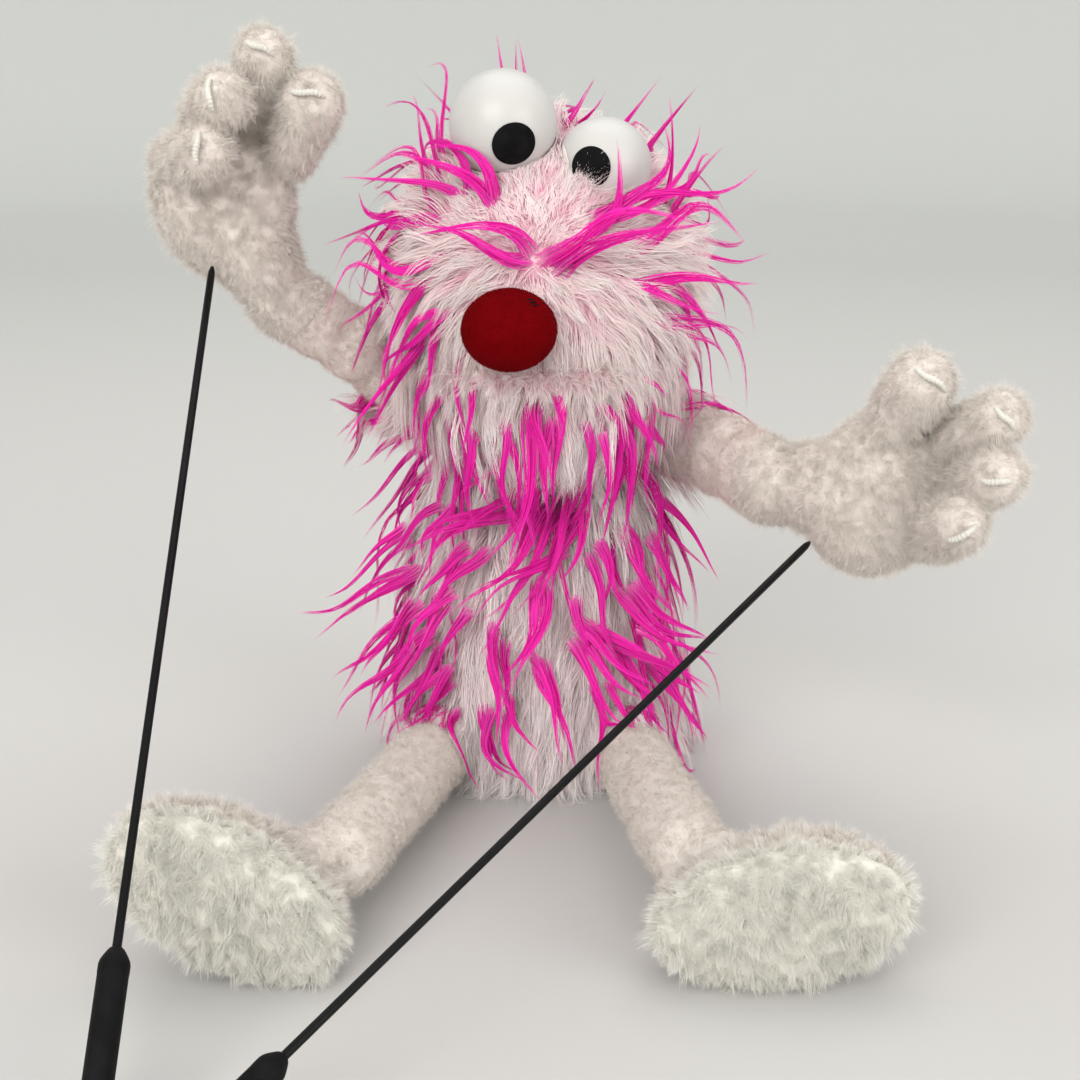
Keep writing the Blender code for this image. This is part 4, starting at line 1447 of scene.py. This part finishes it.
# The locks of the chest and of the beard, with the same columns as the face's.
CHEST_LOCKS = (
    (12, 150, -0.50, -0.85, -0.85, -0.55, 62, 6.4),
    (18, 144, -0.60, -0.80, -0.80, -0.60, 62, 5.4),
    (-26, 150, 0.00, -1.00, 0.50, -0.90, 66, 4.6),
    (-14, 118, -0.75, -0.65, -0.90, -0.40, 56, 5.4),
    (-24, 104, -0.80, -0.60, -0.60, -0.80, 56, 5.0),
    (-19, 160, -0.55, -0.85, 0.45, -0.90, 54, 5.0),
    (3, 134, -0.35, -0.95, -0.85, -0.55, 62, 6.4),
    (8, 127, -0.75, -0.65, -0.85, -0.50, 66, 5.0),
    (13, 123, -0.60, -0.80, -0.30, -0.95, 52, 4.6),
    (6, 106, -0.90, -0.40, -0.75, -0.65, 66, 3.4),
    (-38, 127, -0.70, -0.70, -0.20, -1.00, 42, 4.0),
    (-30, 119, -0.85, -0.50, -0.50, -0.85, 54, 3.6),
    (-42, 106, -0.60, -0.80, -0.80, -0.60, 56, 3.6),
    (-43, 88, -0.70, -0.70, -1.00, 0.00, 62, 4.4),
    (-40, 78, -0.75, -0.65, -0.60, -0.80, 60, 4.4),
    (-38, 66, -0.80, -0.60, -0.75, -0.65, 62, 4.4),
    (33, 108, 0.25, -0.95, 0.10, -1.00, 54, 5.6),
    (34, 154, 0.30, -0.95, 0.60, -0.80, 50, 3.4),
    (38, 120, 0.50, -0.85, 0.85, -0.50, 48, 3.6),
    (29, 88, 0.60, -0.80, 0.90, -0.40, 56, 4.4),
    (24, 73, 0.75, -0.65, 0.85, -0.50, 62, 5.0),
    (5, 91, -0.10, -1.00, -0.35, -0.90, 54, 4.8),
    (14, 73, 0.50, -0.85, 0.75, -0.60, 46, 4.8),
    (2, 60, 0.20, -1.00, 0.50, -0.85, 50, 4.4),
    (27, 60, 0.30, -1.00, 0.70, -0.70, 46, 4.4),
    (-26, 82, -0.60, -0.80, -0.30, -0.95, 54, 4.6),
    (20, 104, 0.10, -1.00, 0.40, -0.90, 50, 4.6),
    (-16, 66, 0.30, -0.95, -0.20, -1.00, 48, 4.8),
    (-36, 62, 0.05, -1.00, -0.30, -0.95, 48, 4.6),
    (-23, 37, 0.05, -1.00, 0.80, -0.50, 58, 3.8),
    (-10, 41, 0.30, -0.95, 0.70, -0.70, 44, 3.6),
    (-31, 50, -0.20, -1.00, -0.50, -0.85, 44, 3.8),
    (20, 50, 0.10, -1.00, 0.40, -0.90, 40, 3.6),
    (38, 50, 0.40, -0.90, 0.70, -0.70, 46, 3.8),
    (24, 153, 0.00, -1.00, -0.10, -1.00, 46, 3.6),
    (-8, 147, 0.10, -1.00, 0.30, -0.95, 44, 3.4),
    (-34, 147, -0.50, -0.85, -0.60, -0.80, 54, 3.6),
)
BEARD_LOCKS = (
    (-24, 172, -0.25, -1.00, 0.35, -0.95, 54, 4.0),
    (-12, 174, 0.45, -0.90, 0.15, -1.00, 60, 3.2),
    (-1, 173, 0.05, -1.00, 0.05, -1.00, 62, 6.6),
    (6, 174, -0.10, -1.00, -0.25, -1.00, 54, 5.0),
    (19, 172, 0.30, -0.95, -0.15, -1.00, 50, 3.4),
    (30, 172, 0.35, -0.95, -0.25, -1.00, 64, 4.6),
    (37, 171, 0.70, -0.70, 0.20, -1.00, 52, 4.0),
)


def ellipsoid_front(shape):
    """The point of an ellipsoid's front that is at a place across and up."""
    centre, radii = shape

    def point(x, z):
        q = 1 - ((x - centre[0]) / radii[0]) ** 2 - ((z - centre[2]) / radii[2]) ** 2
        return np.array((x, centre[1] - radii[1] * math.sqrt(max(q, 0.0)), z))

    return point


def head_top(x, y):
    centre, radii = HEAD
    q = 1 - ((x - centre[0]) / radii[0]) ** 2 - ((y - centre[1]) / radii[1]) ** 2
    return np.array((x, y, centre[2] + radii[2] * math.sqrt(max(q, 0.0))))


def torso_front(x, z):
    cy, a, b = torso_at(z)
    return np.array((x, cy - b * math.sqrt(max(1 - (x / a) ** 2, 0.0)), z))


def placed_locks(
    name, region, rows, hairs, lift, droop=0.0, wave=0.34, fall=1.3, bed=0.5 * MM, strands=1
):
    """Locks one by one: root, way out, way at the tip, length and breadth."""
    rows = [row for row in rows for _ in range(strands)]
    roots, start, end, long, wide = (np.array(column, float) for column in zip(*rows))
    long, wide = long * MM, wide * MM
    if strands > 1:
        roots[:, ::2] += rng.normal(size=(len(rows), 2)) * wide[:, None] * 0.75
        start += rng.normal(size=start.shape) * 0.16
        end += rng.normal(size=end.shape) * 0.22
        long *= rng.uniform(0.6, 1.12, len(rows))
        wide *= 0.75
    normals = REGIONS[region][2](roots)
    lines = grow(
        roots, normals, tangent(start, normals), long, hairs, wide, 0.97, 11, lift, droop,
        wave=wave, frizz=0.03, solids=REGIONS[region][4], bend=(end - start) * 1.25 + end * 0.25,
        fall=fall, bed=bed, shortest=0.4, stray=0.03
    )
    settle(hair_mesh(name, lines, 0.34 * MM, MAGENTA_HAIR), region, "long_fur")


def rows_on(surface, table):
    return [
        (surface(x * MM, z * MM), (a, 0, b), (c, 0, d), long, wide)
        for x, z, a, b, c, d, long, wide in table
    ]


placed_locks(
    "face_locks", "head", rows_on(ellipsoid_front(HEAD), FACE_LOCKS), 60, 1.0, strands=2
)
placed_locks(
    "crown_locks", "head",
    [
        (head_top(x * MM, y * MM), (a, 0, 0), (0, 0, 0), long, wide)
        for x, y, a, long, wide in CROWN_LOCKS
    ],
    30, np.array([1 / abs(row[2]) for row in CROWN_LOCKS]), wave=0.9, fall=0.1,
)
placed_locks(
    "chest_locks", "torso", rows_on(torso_front, CHEST_LOCKS), 60, 1.0, 0.3,
    bed=-16 * MM, strands=3,
)
placed_locks(
    "beard_locks", "jaw", rows_on(ellipsoid_front(JAW), BEARD_LOCKS), 60, 1.1, 0.9,
    bed=-3 * MM, strands=2,
)


# ---------------------------------------------------------------- studio
FLOOR_RADIUS, WALL_CURVE, WALL_TOP = 2.4, 1.0, 3.2


def make_sweep():
    """A round floor whose rim curves up into a pale wall on every side. Its colour carries painted
    light and shade: painted darker towards the front, under the key lamp, and painted lighter
    behind the puppet and up the wall.
    """
    profile = [(r, 0.0) for r in (0.4, 1.2, FLOOR_RADIUS)]
    for i in range(1, 17):
        a = math.pi / 2 * i / 16
        out, up = WALL_CURVE * math.sin(a), WALL_CURVE - WALL_CURVE * math.cos(a)
        profile.append((FLOOR_RADIUS + out, up))
    profile.append((FLOOR_RADIUS + WALL_CURVE, WALL_TOP))
    bm = bmesh.new()
    turns = np.linspace(0, 2 * math.pi, 96, endpoint=False)
    rings = [[bm.verts.new((0, 0, 0))]]
    for r, z in profile:
        rings.append([bm.verts.new((r * math.cos(t), r * math.sin(t), z)) for t in turns])
    loft(bm, rings)
    bmesh.ops.recalc_face_normals(bm, faces=bm.faces)
    mat, tree, bsdf = shader("paper_painted_light", 0.9)
    place = object_coordinates(tree)
    outward = add_node(tree, "VectorMath", {0: place}, operation="LENGTH").outputs["Value"]
    back = add_node(tree, "SeparateXYZ", {"Vector": place}).outputs["Y"]
    part = add_node(tree, "Math", {0: outward, 1: 0.4}, operation="MULTIPLY").outputs["Value"]
    behind_puppet = add_node(tree, "Math", {0: back, 1: 0.6, 2: part}, operation="MULTIPLY_ADD")
    reach = spread(tree, behind_puppet.outputs["Value"], 0.0, 1.0, -0.5, 3.6)
    # Painted light and shade: the floor is painted darker towards the front, under the key lamp,
    # and lighter on the floor and wall behind the puppet.
    painted_light_and_shade = (
        (0.02, (0.34, 0.340, 0.335)), (0.10, (0.58, 0.572, 0.565)), (0.16, (0.62, 0.608, 0.600)),
        (0.52, (0.59, 0.592, 0.584)), (0.72, (0.68, 0.690, 0.678)), (0.82, (0.70, 0.710, 0.698)),
        (0.96, (0.68, 0.690, 0.678))
    )
    tree.links.new(ramp(tree, reach, painted_light_and_shade), bsdf.inputs["Base Color"])
    sweep = from_bmesh("studio_floor", bm, mat)


WARM = (1.0, 0.985, 0.955)


def area_light(name, place, target, size, power):
    data = bpy.data.lights.new(name, "AREA")
    data.shape = "RECTANGLE"
    data.size, data.size_y = size
    data.energy = power
    data.color = WARM
    lamp = bpy.data.objects.new(name, data)
    lamp.location = place
    lamp.rotation_euler = (Vector(target) - Vector(place)).to_track_quat("-Z", "Y").to_euler()
    bpy.context.scene.collection.objects.link(lamp)


make_sweep()
area_light("key", (-1.05, -2.5, 1.575), (0, -0.1, 0.15), (2.1, 1.8), 60)
area_light("fill", (1.95, -1.9, 0.99), (0, -0.1, 0.12), (1.8, 1.8), 31)
area_light("top", (0.15, 0.775, 2.65), (0, -0.05, 0.1), (2.7, 2.1), 22)
world = bpy.data.worlds.new("studio")
world.use_nodes = True
sky = world.node_tree.nodes["Background"].inputs
sky["Color"].default_value = (0.985, 0.995, 0.965, 1)
sky["Strength"].default_value = 0.72
bpy.context.scene.world = world
bpy.context.scene.view_settings.view_transform = "Standard"

CAMERA_TILT = 17.0  # degrees that the camera looks down
camera_data = bpy.data.cameras.new("camera")
camera_data.sensor_width = 36.0
camera_data.lens = 56.67
camera = bpy.data.objects.new("camera", camera_data)
camera.location = (0, -0.735, 0.324)
camera.rotation_euler = (math.radians(90 - CAMERA_TILT), 0, 0)
bpy.context.scene.collection.objects.link(camera)
bpy.context.scene.camera = camera
